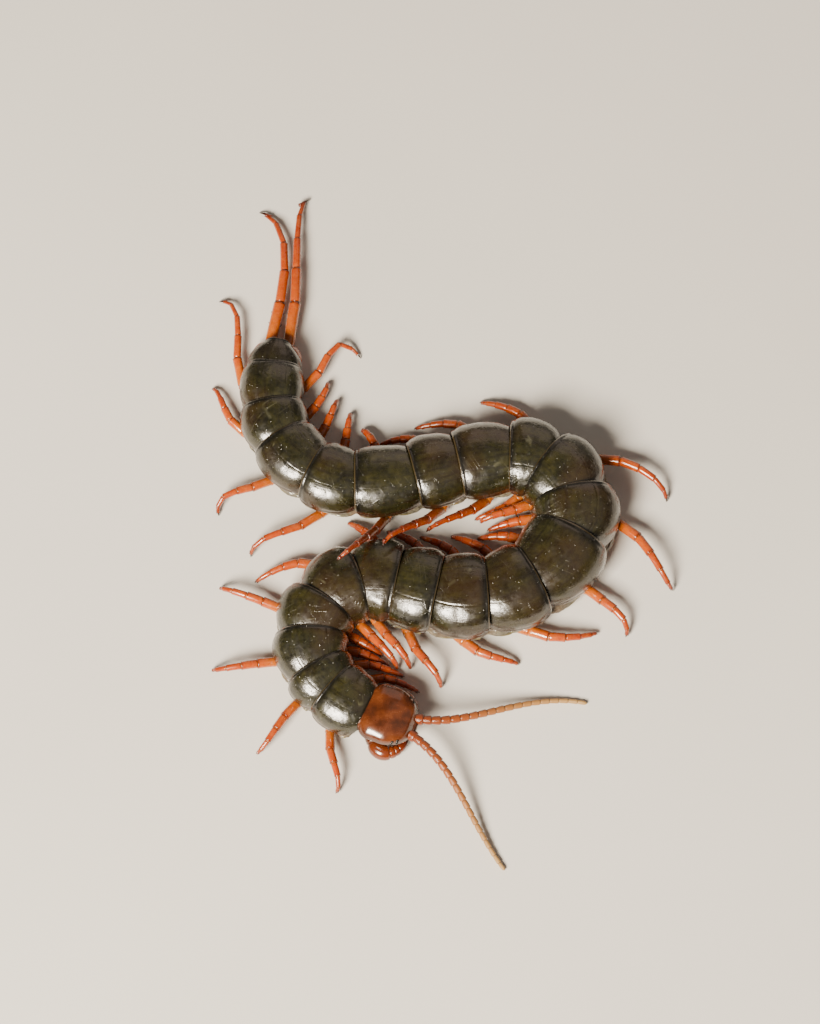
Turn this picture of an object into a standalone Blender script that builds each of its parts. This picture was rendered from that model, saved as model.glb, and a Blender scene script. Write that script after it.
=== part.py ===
"""A giant centipede at life size, lying in an S with the front of its body hooked round.

The body lies on its belly along a path on the floor. The path is walked back from the
neck, through one arc for each of the 21 segments that carry legs, so the sections,
the legs and the head are all placed from the same lengths, widths and turns.

Sizes in the tables are in millimetres, and MM turns them to Blender's metres.
"""
import math
from dataclasses import dataclass

import bmesh
import bpy
from mathutils import Matrix
from mathutils import Vector

MM = 0.001
OBJECT_NAME = "giant_centipede"

# The middle of the neck on the floor, and the way that the head points there.
NECK_X = -8.20
NECK_Y = -22.48
NECK_HEADING = math.radians(-22)

# Each segment from the neck back: length along the middle, width of its plate, and the
# degrees that its arc turns, where a positive turn bends the path clockwise to the tail.
SEGMENTS = (
    (4.3, 7.7, -22), (2.9, 7.9, -18), (4.1, 8.2, -32), (3.8, 8.6, -33), (4.7, 9.0, -38),
    (4.2, 9.3, -33), (4.6, 9.6, 6), (5.5, 9.7, 18), (5.5, 9.6, 26), (6.9, 9.8, 34),
    (4.9, 9.9, 41), (4.9, 9.8, 41), (4.0, 9.2, 37), (5.9, 8.7, 8), (5.1, 8.5, 2),
    (6.6, 8.2, -16), (5.1, 8.0, -30), (5.3, 7.8, -31), (4.1, 7.6, -23), (4.9, 7.2, -13),
    (2.7, 5.8, -2),
)
SEGMENTS_PER_NODE = 2
LAST = len(SEGMENTS) - 1

# The cross-section, as shares of a segment's width and height.
HEIGHT_SHARE = 0.66
EDGE_SHARE = 0.42
EDGE_ABOVE = 0.35
DOME_POWER = 2.3
DOME_SHARES = (0.0, 0.30, 0.58, 0.80, 0.94)
PLATE_THICK = 0.40
PLATE_EDGE_ROUND = 0.10
PLATE_LIP = 0.05
PLATE_OVERHANG = 0.65
FLANK_WAIST_SHARE = 0.45
FLANK_LOW_INSET = 1.30
FLANK_LOW = 0.90
BELLY_CORNER = (0.58, 0.25)
BELLY_FLAT = 0.50

# Along a segment: share of its length, width share, lift of the plate, lift of the belly.
STATIONS = (
    (0.05, 0.955, -0.26, 0.30),
    (0.25, 0.990, -0.10, 0.0),
    (0.55, 1.000, 0.06, 0.0),
    (0.86, 0.985, 0.20, 0.0),
    (0.98, 0.950, 0.26, 0.30),
)
GAP = 0.30
TAIL_TAPER = 0.34
NECK_TAPER = 0.10

# Legs: shares of a leg's length at which its five articles and its claw start, and the
# thickness of each as a share of the first one's radius.
ARTICLE_STARTS = (0.0, 0.27, 0.49, 0.69, 0.85, 0.945)
ARTICLE_RADII = (1.0, 0.88, 0.72, 0.54, 0.42, 0.26)
JOINT_NECK = 0.80
WIDEST_AT = 0.62
CLAW_TIP_RADIUS = 0.09
LEG_RADIUS = 0.64
LEG_SIDES = 6
ROOT_HEIGHT = (0.18, 0.05)
ROOT_SHARE = 0.55
ROOT_INSET = 0.75
COXA_SUNK = 0.8
COXA_OUT = 0.25
COXA_OUT_SWEPT = 0.30
COXA_SIDES = 8
COXA_SPARE = 0.05
ROD_LOWEST = 0.06
LEG_PITCH = math.radians(12)
USUAL_HEIGHT = 6.5
TIP_LEAD = 0.10
BOW_PULL = 1.6


@dataclass(frozen=True)
class Pose:
    """How one leg is held.

    The sweep turns the tip towards the head, in degrees, and the reach is measured on
    the floor. The bow moves the middle towards the head. The arch and the straight lead
    at the root are shares of the reach, and the rise moves the root up.
    """

    sweep: float
    reach: float
    bow: float = 0.0
    tip: float = 0.1
    arch: float = 0.42
    rise: float = 0.0
    lead: float = 0.36


LEFT_LEGS = (
    Pose(68, 5.6, arch=0.12), Pose(46, 5.6, arch=0.12, rise=0.2), Pose(28, 4.9, arch=0.12),
    Pose(6, 4.2, arch=0.15, rise=-0.15), Pose(-9, 6.2, arch=0.7, rise=0.1, lead=0.25),
    Pose(-40, 6.0, arch=0.9, rise=0.3, lead=0.2), Pose(-46, 6.9, -0.3, arch=0.7),
    Pose(-72, 6.4, arch=0.2), Pose(-72, 7.6, 0.6, arch=0.2),
    Pose(12, 6.5, -1.0), Pose(50, 9.6, 0.6), Pose(70, 9.2, -1.0, arch=0.3),
    Pose(-72, 6.6, arch=0.15), Pose(-74, 6.6, arch=0.15), Pose(-74, 4.8, arch=0.2),
    Pose(-25, 3.6, arch=0.6), Pose(-8, 5.2), Pose(-25, 5.4), Pose(-48, 5.0, 0.5),
    Pose(-35, 7.7, -3.6, arch=0.3),
)
RIGHT_LEGS = (
    Pose(40, 6.6, 0.8), Pose(15, 7.0, 0.6), Pose(-5, 7.2, 0.6), Pose(0, 7.4, 0.4),
    Pose(72, 7.0, arch=0.2), Pose(50, 4.6, arch=0.2), Pose(68, 5.2, arch=0.15),
    Pose(57, 5.5, arch=0.15), Pose(38, 5.6, arch=0.15), Pose(34, 4.9, arch=0.2),
    Pose(12, 5.1, arch=0.15), Pose(-20, 5.6, arch=0.4, rise=0.5, tip=1.2),
    Pose(-55, 5.1, arch=0.15), Pose(-62, 8.4, tip=5.4, arch=0.3, lead=0.15),
    Pose(-60, 9.0, -0.5, tip=6.8, arch=0.35, lead=0.18),
    Pose(-43, 8.8, 0.6, tip=7.5, arch=0.5, lead=0.15),
    Pose(-41, 9.0, -1.0), Pose(-8, 6.8, -1.6), Pose(-72, 6.6, -0.6, arch=0.2),
    Pose(-73, 11.0, -2.5, arch=0.2, lead=0.2),
)


# The terminal legs: each course is (behind the last plate, out to its own side, up).
TAIL_LEG_RADIUS = 0.70
TAIL_LEG_ASIDE = 1.05
TAIL_LEG_HEIGHT = 1.45
TAIL_LEG_SPLAY = {1: 0.10, -1: -0.07}
TAIL_LEG_RISE = 0.08
TAIL_LEG_LEAD = 6.3
TAIL_SPINE_RADIUS = 0.36
TAIL_SPINE_SUNK = 1.0
TAIL_SPINE_LENGTH = 1.4
TAIL_SPINE_ASIDE = 0.95
TAIL_SPINE_HEIGHT = 0.40
TAIL_STUB = 0.35
TAIL_STUB_SUNK = 1.4
TAIL_LEG_COURSE = {
    1: ((18.8, -2.4, 1.4), (19.5, 0.05, 0.12)),
    -1: ((16.1, 0.6, 1.4), (16.9, 5.5, 0.12)),
}

# The head, as rings (ahead of the neck, half width, top, underside).
HEAD_STATIONS = (
    (0.15, 2.70, 4.75, 2.35), (0.70, 3.10, 5.00, 2.30), (1.90, 3.38, 5.15, 2.30),
    (3.20, 3.30, 5.10, 2.30), (4.30, 2.92, 4.85, 2.30), (5.10, 2.30, 4.55, 2.35),
    (5.65, 1.50, 4.20, 2.50),
)
HEAD_DOME_SHARES = (0.0, 0.35, 0.65, 0.87)
HEAD_DOME_POWER = 2.6
HEAD_EDGE_SHARE = 0.52
HEAD_OVERHANG = 0.30
HEAD_CHEEK_SHARE = 0.80
HEAD_THROAT_SHARE = 0.45
EYE_RADIUS = 0.26
EYES = ((4.15, 2.72, 4.30), (4.62, 2.42, 4.25), (4.05, 2.86, 3.85), (4.60, 2.58, 3.80))

# The feelers: each course is (ahead of the neck, to the animal's left, up).
ANTENNA_ARTICLES = 18
ANTENNA_ROOT_RADIUS = 0.52
ANTENNA_TIP_RADIUS = 0.24
ANTENNA_NECK = 0.80
ANTENNA_WIDEST_AT = 0.6
ANTENNA_AHEAD = 5.85
ANTENNA_ASIDE = 1.00
ANTENNA_UP = 3.45
ANTENNA_SPLAY = 0.25
ANTENNA_SOCKET = 1.2
ANTENNA_LEAD = 5.5
ANTENNA_COURSE = {
    1: ((15.5, 9.5, 0.2), (22.0, 10.5, 0.3)),
    -1: ((15.0, -7.0, 0.2), (20.5, -10.5, 0.3)),
}

# The fangs and the plate below the head that carries them.
FANG_PLATE_STATIONS = (
    (0.15, 2.10, 1.95, 0.15), (1.00, 2.30, 2.00, 0.0), (2.20, 2.10, 2.00, 0.0),
    (3.00, 1.60, 1.90, 0.1), (3.50, 1.10, 1.70, 0.4),
)
FANG_RADIUS = 0.82
FANG_AHEAD = 1.90
FANG_ASIDE = 2.55
FANG_UP = 1.0
FANG_SPLAY = 1.2
FANG_STUB = 1.2
FANG_LEAD = 1.6
FANG_COURSE = ((5.2, 3.0, 1.1), (5.3, 0.45, 0.9))
FANG_STATIONS = (
    (0.0, 0.80), (0.18, 0.90), (0.38, 0.80), (0.44, 0.66), (0.60, 0.58), (0.66, 0.46),
    (0.85, 0.30), (1.0, 0.08),
)

# Each finish: its linear colour and roughness.
OLIVE_PLATE = ((0.045, 0.05, 0.018), 0.2)
ORANGE_CUTICLE = ((0.55, 0.12, 0.02), 0.3)
BROWN_PLATE = ((0.16, 0.05, 0.015), 0.25)
SHARP_ANGLE = math.radians(40)


class Place:
    """A spot on the body's path: its point on the floor and its axes there."""

    def __init__(self, x, y, heading):
        self.point = Vector((x, y, 0.0))
        self.heading = heading
        self.ahead = Vector((math.cos(heading), math.sin(heading), 0.0))
        self.left = Vector((-math.sin(heading), math.cos(heading), 0.0))

    def at(self, ahead, left, up):
        """A point in millimetres from here along the three axes."""
        return self.point + self.ahead * ahead + self.left * left + Vector((0, 0, up))

    def shifted(self, ahead):
        """The same place moved straight ahead, or back where the distance is negative."""
        moved = self.point + self.ahead * ahead
        return Place(moved.x, moved.y, self.heading)


def along(border, segment, share):
    """The place at a share of a segment's length behind its front border."""
    length = SEGMENTS[segment][0]
    turn = math.radians(SEGMENTS[segment][2])
    start = border.heading
    end = start + turn * share
    radius = length / turn
    x = border.point.x - radius * (math.sin(end) - math.sin(start))
    y = border.point.y + radius * (math.cos(end) - math.cos(start))
    return Place(x, y, end)


def walk_borders():
    """The place of each border between segments, from the neck to the tail's end."""
    borders = [Place(NECK_X, NECK_Y, NECK_HEADING)]
    for segment in range(len(SEGMENTS)):
        borders.append(along(borders[-1], segment, 1.0))
    return borders


def segment_sizes(segment):
    """Half width, height and the height of the plate's edge of one segment."""
    width = SEGMENTS[segment][1]
    height = width * HEIGHT_SHARE
    return width / 2, height, EDGE_SHARE * height + EDGE_ABOVE


def half_section(segment, narrow, lift, belly):
    """One side of a section as (sideways, up), from the top to the middle of the belly."""
    half, height, edge = segment_sizes(segment)
    half = half * narrow
    rise = height + lift - edge
    points = []
    for share in DOME_SHARES:
        points.append((half * share, edge + rise * (1 - share**DOME_POWER) ** (1 / DOME_POWER)))
    points.append((half, edge))
    points.append((half - PLATE_EDGE_ROUND, edge - PLATE_THICK))
    points.append((half - PLATE_OVERHANG, edge - PLATE_THICK - PLATE_LIP))
    points.append((half - PLATE_OVERHANG, FLANK_WAIST_SHARE * edge + belly))
    points.append((half - FLANK_LOW_INSET, FLANK_LOW + belly))
    points.append((half * BELLY_CORNER[0], BELLY_CORNER[1] + belly))
    points.append((half * BELLY_FLAT, belly))
    points.append((0.0, belly))
    return points


def ring_at(place, half):
    """The closed ring of a section that is the same on both sides."""
    right = [place.at(0, -side, up) for side, up in half]
    left = [place.at(0, side, up) for side, up in half[1:-1]]
    return right + left[::-1]


def parts_collection(name):
    """A new collection in the scene."""
    collection = bpy.data.collections.new(name)
    bpy.context.scene.collection.children.link(collection)
    return collection


def finish_mesh(name, bm, collection):
    """Turns a mesh in millimetres to an object in metres, with its faces outward."""
    bmesh.ops.recalc_face_normals(bm, faces=bm.faces)
    bmesh.ops.transform(bm, matrix=Matrix.Scale(MM, 4), verts=bm.verts)
    mesh = bpy.data.meshes.new(name)
    bm.to_mesh(mesh)
    bm.free()
    made = bpy.data.objects.new(name, mesh)
    collection.objects.link(made)
    return made


def loft(name, rings, collection):
    """A closed solid through rings that have the same number of points."""
    bm = bmesh.new()
    levels = [[bm.verts.new(point) for point in ring] for ring in rings]
    count = len(levels[0])
    for lower, upper in zip(levels, levels[1:]):
        for i in range(count):
            j = (i + 1) % count
            bm.faces.new((lower[i], lower[j], upper[j], upper[i]))
    bm.faces.new(levels[0])
    bm.faces.new(levels[-1])
    return finish_mesh(name, bm, collection)


def rod(name, start, end, radii, sides, collection):
    """A cylinder or a cone between two points, with its radius at each."""
    bm = bmesh.new()
    axis = end - start
    bmesh.ops.create_cone(
        bm,
        cap_ends=True,
        segments=sides,
        radius1=radii[0],
        radius2=radii[1],
        depth=axis.length,
    )
    turn = Vector((0, 0, 1)).rotation_difference(axis)
    place = Matrix.Translation((start + end) / 2) @ turn.to_matrix().to_4x4()
    bmesh.ops.transform(bm, matrix=place, verts=bm.verts)
    for vert in bm.verts:
        vert.co.z = max(vert.co.z, ROD_LOWEST)
    return finish_mesh(name, bm, collection)


def keep_largest(made):
    """Keeps the largest closed surface of a mesh."""
    bm = bmesh.new()
    bm.from_mesh(made.data)
    left = set(bm.verts)
    groups = []
    while left:
        group = set()
        stack = [left.pop()]
        while stack:
            vert = stack.pop()
            group.add(vert)
            for edge in vert.link_edges:
                other = edge.other_vert(vert)
                if other in left:
                    left.remove(other)
                    stack.append(other)
        groups.append(group)
    groups.sort(key=len)
    for group in groups[:-1]:
        bmesh.ops.delete(bm, geom=list(group), context="VERTS")
    bm.to_mesh(made.data)
    bm.free()


def fuse(made, pieces):
    """Joins the pieces to an object with one Boolean union, and removes them."""
    cutters = bpy.data.collections.new("joining_" + made.name)
    bpy.context.scene.collection.children.link(cutters)
    cutters.hide_render = True
    for piece in pieces:
        for owner in list(piece.users_collection):
            owner.objects.unlink(piece)
        cutters.objects.link(piece)
        piece.display_type = "WIRE"
    union = made.modifiers.new("union", "BOOLEAN")
    union.operation = "UNION"
    union.operand_type = "COLLECTION"
    union.collection = cutters
    union.solver = "EXACT"
    bpy.context.view_layer.update()
    graph = bpy.context.evaluated_depsgraph_get()
    joined = bpy.data.meshes.new_from_object(made.evaluated_get(graph))
    made.modifiers.remove(union)
    made.data = joined
    for piece in pieces:
        bpy.data.objects.remove(piece)
    bpy.data.collections.remove(cutters)
    keep_largest(made)


def material(name, colour, roughness):
    """A plain Principled material."""
    made = bpy.data.materials.new(name)
    made.use_nodes = True
    shader = made.node_tree.nodes["Principled BSDF"]
    shader.inputs["Base Color"].default_value = (*colour, 1.0)
    shader.inputs["Roughness"].default_value = roughness
    shader.inputs["Metallic"].default_value = 0.0
    return made


def dress(made, finish):
    """Gives an object its material and smooth shading up to sharp edges."""
    made.data.materials.clear()
    made.data.materials.append(finish)
    made.data.shade_smooth()
    made.data.set_sharp_from_angle(angle=SHARP_ANGLE)


class Curve:
    """A cubic Bezier curve that is read by the distance along it."""

    STEPS = 48

    def __init__(self, points):
        self.points = points
        self.walked = [0.0]
        last = self.point(0.0)
        for step in range(1, self.STEPS + 1):
            here = self.point(step / self.STEPS)
            self.walked.append(self.walked[-1] + (here - last).length)
            last = here

    def point(self, spot):
        """The curve's point at a value of its own parameter, 0 to 1."""
        a, b, c, d = self.points
        rest = 1 - spot
        return a * rest**3 + b * (3 * rest**2 * spot) + c * (3 * rest * spot**2) + d * spot**3

    def tangent(self, spot):
        """The curve's direction there."""
        a, b, c, d = self.points
        rest = 1 - spot
        way = (b - a) * rest**2 + (c - b) * (2 * rest * spot) + (d - c) * spot**2
        return way.normalized()

    def spot(self, share):
        """The parameter at a share of the curve's length."""
        wanted = share * self.walked[-1]
        step = next((i for i in range(1, self.STEPS) if self.walked[i] >= wanted), self.STEPS)
        part = (wanted - self.walked[step - 1]) / (self.walked[step] - self.walked[step - 1])
        return (step - 1 + part) / self.STEPS

    def ring(self, share, radius, sides):
        """A ring round the curve at a share of its length, kept off the floor."""
        spot = self.spot(share)
        middle = self.point(spot)
        ahead = self.tangent(spot)
        flat = Vector((ahead.y, -ahead.x, 0.0)).normalized()
        upward = flat.cross(ahead)
        ring = []
        for i in range(sides):
            angle = 2 * math.pi * i / sides
            point = middle + (flat * math.cos(angle) + upward * math.sin(angle)) * radius
            point.z = max(point.z, 0.0)
            ring.append(point)
        return ring

    def rings(self, stations, sides):
        """Rings at stations, each of which is a share of the length and a radius."""
        return [self.ring(share, radius, sides) for share, radius in stations]


def limb_stations(thick):
    """Two rings for each article of a leg, so that each joint shows as a narrow neck."""
    stations = []
    ends = (*ARTICLE_STARTS[1:], 1.0)
    for start, end, share in zip(ARTICLE_STARTS, ends, ARTICLE_RADII):
        radius = thick * share
        stations.append((start, radius if start == 0.0 else radius * JOINT_NECK))
        if end < 1.0:
            stations.append((start + (end - start) * WIDEST_AT, radius))
    stations.append((1.0, CLAW_TIP_RADIUS))
    return stations


class Leg:
    """One walking leg: where it leaves the body, and the curve that it follows."""

    def __init__(self, borders, segment, side, pose):
        half, height, _ = segment_sizes(segment)
        place = along(borders[segment], segment, ROOT_SHARE)
        out = place.left * side
        sweep = math.radians(pose.sweep)
        way = out * math.cos(sweep) + place.ahead * math.sin(sweep)
        across = place.ahead * math.cos(sweep) - out * math.sin(sweep)
        level = (out + way).normalized()
        self.axis = level * math.cos(LEG_PITCH) + Vector((0, 0, math.sin(LEG_PITCH)))
        self.radius = LEG_RADIUS * math.sqrt(height / USUAL_HEIGHT)
        root_height = ROOT_HEIGHT[0] * height + ROOT_HEIGHT[1] + pose.rise
        self.base = place.at(0, side * (half - ROOT_INSET), root_height)
        self.stub = COXA_OUT + COXA_OUT_SWEPT * abs(math.sin(sweep))
        start = self.base + self.axis * (self.stub + GAP)
        end = start + way * pose.reach
        end.z = pose.tip
        second = start + self.axis * (pose.lead * pose.reach)
        third = end - way * (TIP_LEAD * pose.reach) + across * (BOW_PULL * pose.bow)
        third.z = pose.tip + pose.arch * pose.reach
        self.curve = Curve((start, second, third, end))

    def build(self, name, collection):
        """The leg's own solid."""
        return loft(name, self.curve.rings(limb_stations(self.radius), LEG_SIDES), collection)

    def coxa(self, collection):
        """The stub on the body that the leg grows from."""
        return rod(
            "coxa",
            self.base - self.axis * COXA_SUNK,
            self.base + self.axis * self.stub,
            (self.radius + COXA_SPARE, self.radius + COXA_SPARE),
            COXA_SIDES,
            collection,
        )


def trunk_rings(borders, first, last):
    """The rings of the segments first to last, which start and end flat at a border."""
    rings = []
    for segment in range(first, last + 1):
        for number, (share, narrow, lift, belly) in enumerate(STATIONS):
            opens = segment == first and number == 0
            closes = segment == last and number == len(STATIONS) - 1
            if opens:
                place = borders[segment].shifted(-GAP / 2)
            elif closes:
                place = borders[segment + 1].shifted(GAP / 2)
            else:
                place = along(borders[segment], segment, share)
            if segment == 0:
                narrow -= NECK_TAPER * (1 - share) ** 2
            if segment == LAST:
                narrow -= TAIL_TAPER * share**2
                lift -= TAIL_TAPER * share**2
            rings.append(ring_at(place, half_section(segment, narrow, lift, belly)))
    return rings


def node_name(first, last):
    """The name of the node that holds the segments first to last."""
    if first == last:
        return f"trunk_{first + 1:02d}"
    return f"trunk_{first + 1:02d}_{last + 1:02d}"


def side_name(side):
    """The animal's own left or right."""
    return "left" if side > 0 else "right"


class Tail:
    """The terminal legs, and the stubs and points of the last segment that hold them."""

    def __init__(self, borders):
        self.end = borders[-1]

    def point(self, side, behind, out, up):
        """A point behind the last plate, out towards the leg's own side."""
        return self.end.at(-behind, side * out, up)

    def axis(self, side):
        """The direction in which a terminal leg leaves the body."""
        way = self.end.left * (side * TAIL_LEG_SPLAY[side]) - self.end.ahead
        way.z = TAIL_LEG_RISE
        return way.normalized()

    def base(self, side):
        """The middle of the stub's end."""
        return self.point(side, TAIL_STUB, TAIL_LEG_ASIDE, TAIL_LEG_HEIGHT)

    def stub(self, side, collection):
        """The stub on the last segment."""
        tip = self.base(side)
        root = tip - self.axis(side) * (TAIL_STUB + TAIL_STUB_SUNK)
        radius = TAIL_LEG_RADIUS + COXA_SPARE
        return rod("coxa", root, tip, (radius, radius), COXA_SIDES, collection)

    def spine(self, side, collection):
        """The pointed process below the root of a terminal leg."""
        root = self.point(side, -TAIL_SPINE_SUNK, TAIL_SPINE_ASIDE, TAIL_SPINE_HEIGHT)
        tip = self.point(side, TAIL_SPINE_LENGTH, TAIL_SPINE_ASIDE, TAIL_SPINE_HEIGHT)
        radii = (TAIL_SPINE_RADIUS, CLAW_TIP_RADIUS)
        return rod("spine", root, tip, radii, LEG_SIDES, collection)

    def leg(self, side, collection):
        """A terminal leg."""
        start = self.base(side) + self.axis(side) * GAP
        lead = start + self.axis(side) * TAIL_LEG_LEAD
        course = [self.point(side, *step) for step in TAIL_LEG_COURSE[side]]
        curve = Curve((start, lead, *course))
        name = f"leg_{side_name(side)}_21"
        return loft(name, curve.rings(limb_stations(TAIL_LEG_RADIUS), LEG_SIDES), collection)


class Head:
    """The head plate with its eyes, the feelers, and the fangs with the plate below."""

    def __init__(self, borders):
        self.neck = borders[0]

    def section(self, half, top, low):
        """A ring's half: a domed shield over a body that is a little narrower."""
        edge = low + (top - low) * HEAD_EDGE_SHARE
        rise = top - edge
        points = []
        for share in HEAD_DOME_SHARES:
            up = edge + rise * (1 - share**HEAD_DOME_POWER) ** (1 / HEAD_DOME_POWER)
            points.append((half * share, up))
        points.append((half, edge))
        points.append((half - HEAD_OVERHANG, edge - HEAD_OVERHANG))
        points.append((half * HEAD_CHEEK_SHARE, low + HEAD_OVERHANG))
        points.append((half * HEAD_THROAT_SHARE, low))
        points.append((0.0, low))
        return points

    def shield(self, collection):
        """The head's own solid."""
        rings = [
            ring_at(self.neck.shifted(ahead), self.section(half, top, low))
            for ahead, half, top, low in HEAD_STATIONS
        ]
        return loft("head", rings, collection)

    def eyes(self, collection):
        """Four bulging simple eyes on each side."""
        made = []
        for side in (1, -1):
            for ahead, out, up in EYES:
                bm = bmesh.new()
                bmesh.ops.create_uvsphere(bm, u_segments=8, v_segments=5, radius=EYE_RADIUS)
                spot = self.neck.at(ahead, side * out, up)
                bmesh.ops.translate(bm, vec=spot, verts=bm.verts)
                made.append(finish_mesh("eye", bm, collection))
        return made

    def antenna_axis(self, side):
        """The direction in which a feeler leaves the head."""
        way = self.neck.ahead + self.neck.left * (side * ANTENNA_SPLAY)
        return way.normalized()

    def antenna_base(self, side):
        """The middle of the socket's end."""
        return self.neck.at(ANTENNA_AHEAD, side * ANTENNA_ASIDE, ANTENNA_UP)

    def socket(self, side, collection):
        """The socket on the head that a feeler grows from."""
        tip = self.antenna_base(side)
        root = tip - self.antenna_axis(side) * ANTENNA_SOCKET
        radius = ANTENNA_ROOT_RADIUS + COXA_SPARE
        return rod("socket", root, tip, (radius, radius), COXA_SIDES, collection)

    def antenna(self, side, collection):
        """A feeler of beaded articles, tapering to its tip."""
        start = self.antenna_base(side) + self.antenna_axis(side) * GAP
        lead = start + self.antenna_axis(side) * ANTENNA_LEAD
        course = [self.neck.at(*step) for step in ANTENNA_COURSE[side]]
        curve = Curve((start, lead, *course))
        stations = []
        for article in range(ANTENNA_ARTICLES):
            share = article / ANTENNA_ARTICLES
            radius = ANTENNA_ROOT_RADIUS + (ANTENNA_TIP_RADIUS - ANTENNA_ROOT_RADIUS) * share
            neck = radius if article == 0 else radius * ANTENNA_NECK
            stations.append((share, neck))
            stations.append((share + ANTENNA_WIDEST_AT / ANTENNA_ARTICLES, radius))
        stations.append((1.0, ANTENNA_TIP_RADIUS * ANTENNA_NECK))
        name = f"antenna_{side_name(side)}"
        return loft(name, curve.rings(stations, LEG_SIDES), collection)

    def fang_plate(self, collection):
        """The plate under the head that carries the fangs, with their two stubs."""
        rings = [
            ring_at(self.neck.shifted(ahead), self.section(half, top, low))
            for ahead, half, top, low in FANG_PLATE_STATIONS
        ]
        made = loft("forcipule_plate", rings, collection)
        stubs = []
        for side in (1, -1):
            tip = self.fang_base(side)
            root = tip - self.fang_axis(side) * FANG_STUB
            radii = (FANG_RADIUS, FANG_RADIUS)
            stubs.append(rod("stub", root, tip, radii, COXA_SIDES, collection))
        fuse(made, stubs)
        return made

    def fang_axis(self, side):
        """The direction in which a fang leaves its plate."""
        way = self.neck.ahead + self.neck.left * (side * FANG_SPLAY)
        return way.normalized()

    def fang_base(self, side):
        """The middle of the stub's end."""
        return self.neck.at(FANG_AHEAD, side * FANG_ASIDE, FANG_UP)

    def fang(self, side, collection):
        """A fang that curves forward and in to a point."""
        start = self.fang_base(side) + self.fang_axis(side) * GAP
        lead = start + self.fang_axis(side) * FANG_LEAD
        course = [self.neck.at(ahead, side * out, up) for ahead, out, up in FANG_COURSE]
        curve = Curve((start, lead, *course))
        name = f"forcipule_{side_name(side)}"
        return loft(name, curve.rings(FANG_STATIONS, COXA_SIDES), collection)

    def build(self, collection):
        """All nodes of the head."""
        shield = self.shield(collection)
        sockets = [self.socket(side, collection) for side in (1, -1)]
        fuse(shield, self.eyes(collection) + sockets)
        made = [shield, self.fang_plate(collection)]
        for side in (1, -1):
            made.append(self.antenna(side, collection))
            made.append(self.fang(side, collection))
        return made


def build_trunk(borders, legs, collection):
    """The trunk in lengths of two segments, each with the stubs of its legs."""
    tail = Tail(borders)
    made = []
    for first in range(0, LAST + 1, SEGMENTS_PER_NODE):
        last = min(first + SEGMENTS_PER_NODE - 1, LAST)
        trunk = loft(node_name(first, last), trunk_rings(borders, first, last), collection)
        stubs = [
            leg.coxa(collection) for (segment, _), leg in legs.items() if first <= segment <= last
        ]
        if last == LAST:
            for side in (1, -1):
                stubs.append(tail.stub(side, collection))
                stubs.append(tail.spine(side, collection))
        fuse(trunk, stubs)
        made.append(trunk)
    return made


def main():
    """Clears the scene and builds every node."""
    for old in list(bpy.data.objects):
        bpy.data.objects.remove(old)
    parts = parts_collection(OBJECT_NAME)
    plate_finish = material("olive_plate", *OLIVE_PLATE)
    leg_finish = material("orange_cuticle", *ORANGE_CUTICLE)
    head_finish = material("brown_plate", *BROWN_PLATE)
    borders = walk_borders()
    legs = {}
    for segment in range(LAST):
        legs[segment, 1] = Leg(borders, segment, 1, LEFT_LEGS[segment])
        legs[segment, -1] = Leg(borders, segment, -1, RIGHT_LEGS[segment])
    for trunk in build_trunk(borders, legs, parts):
        dress(trunk, plate_finish)
    for (segment, side), leg in legs.items():
        dress(leg.build(f"leg_{side_name(side)}_{segment + 1:02d}", parts), leg_finish)
    tail = Tail(borders)
    for side in (1, -1):
        dress(tail.leg(side, parts), leg_finish)
    for piece in Head(borders).build(parts):
        dress(piece, head_finish)


if __name__ == "__main__":
    main()
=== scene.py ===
"""A giant centipede at life size: its fine forms and finishes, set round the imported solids.

The tables repeat the sizes that place the solids, in millimetres. Meshes are made in
millimetres too, and MM turns them to metres when an object is made.
"""
import logging
import math
from dataclasses import dataclass
from enum import Enum
from typing import Iterable, Sequence

import bmesh
import bpy
import numpy as np
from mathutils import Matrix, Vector


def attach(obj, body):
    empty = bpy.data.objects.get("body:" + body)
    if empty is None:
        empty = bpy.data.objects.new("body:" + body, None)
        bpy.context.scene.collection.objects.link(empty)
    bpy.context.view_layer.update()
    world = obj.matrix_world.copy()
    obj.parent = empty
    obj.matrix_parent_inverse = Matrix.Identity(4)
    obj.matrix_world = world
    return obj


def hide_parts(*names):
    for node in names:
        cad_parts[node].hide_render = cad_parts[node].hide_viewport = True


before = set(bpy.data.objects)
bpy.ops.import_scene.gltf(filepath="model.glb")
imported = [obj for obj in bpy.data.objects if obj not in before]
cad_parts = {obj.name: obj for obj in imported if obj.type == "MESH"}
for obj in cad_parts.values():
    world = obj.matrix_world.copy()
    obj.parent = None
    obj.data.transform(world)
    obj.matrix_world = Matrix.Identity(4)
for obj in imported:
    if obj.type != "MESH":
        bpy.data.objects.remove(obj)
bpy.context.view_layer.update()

LOG = logging.getLogger("centipede")
MM = 0.001
Array = np.ndarray
Numbers = np.ndarray | float
Pair = tuple[float, float]
Socket = bpy.types.NodeSocket
Value = bpy.types.NodeSocket | float | str
UP = np.array((0.0, 0.0, 1.0))

# The middle of the neck on the floor, and the way that the head points there.
NECK_X = -8.20
NECK_Y = -22.48
NECK_HEADING = math.radians(-22)

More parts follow.
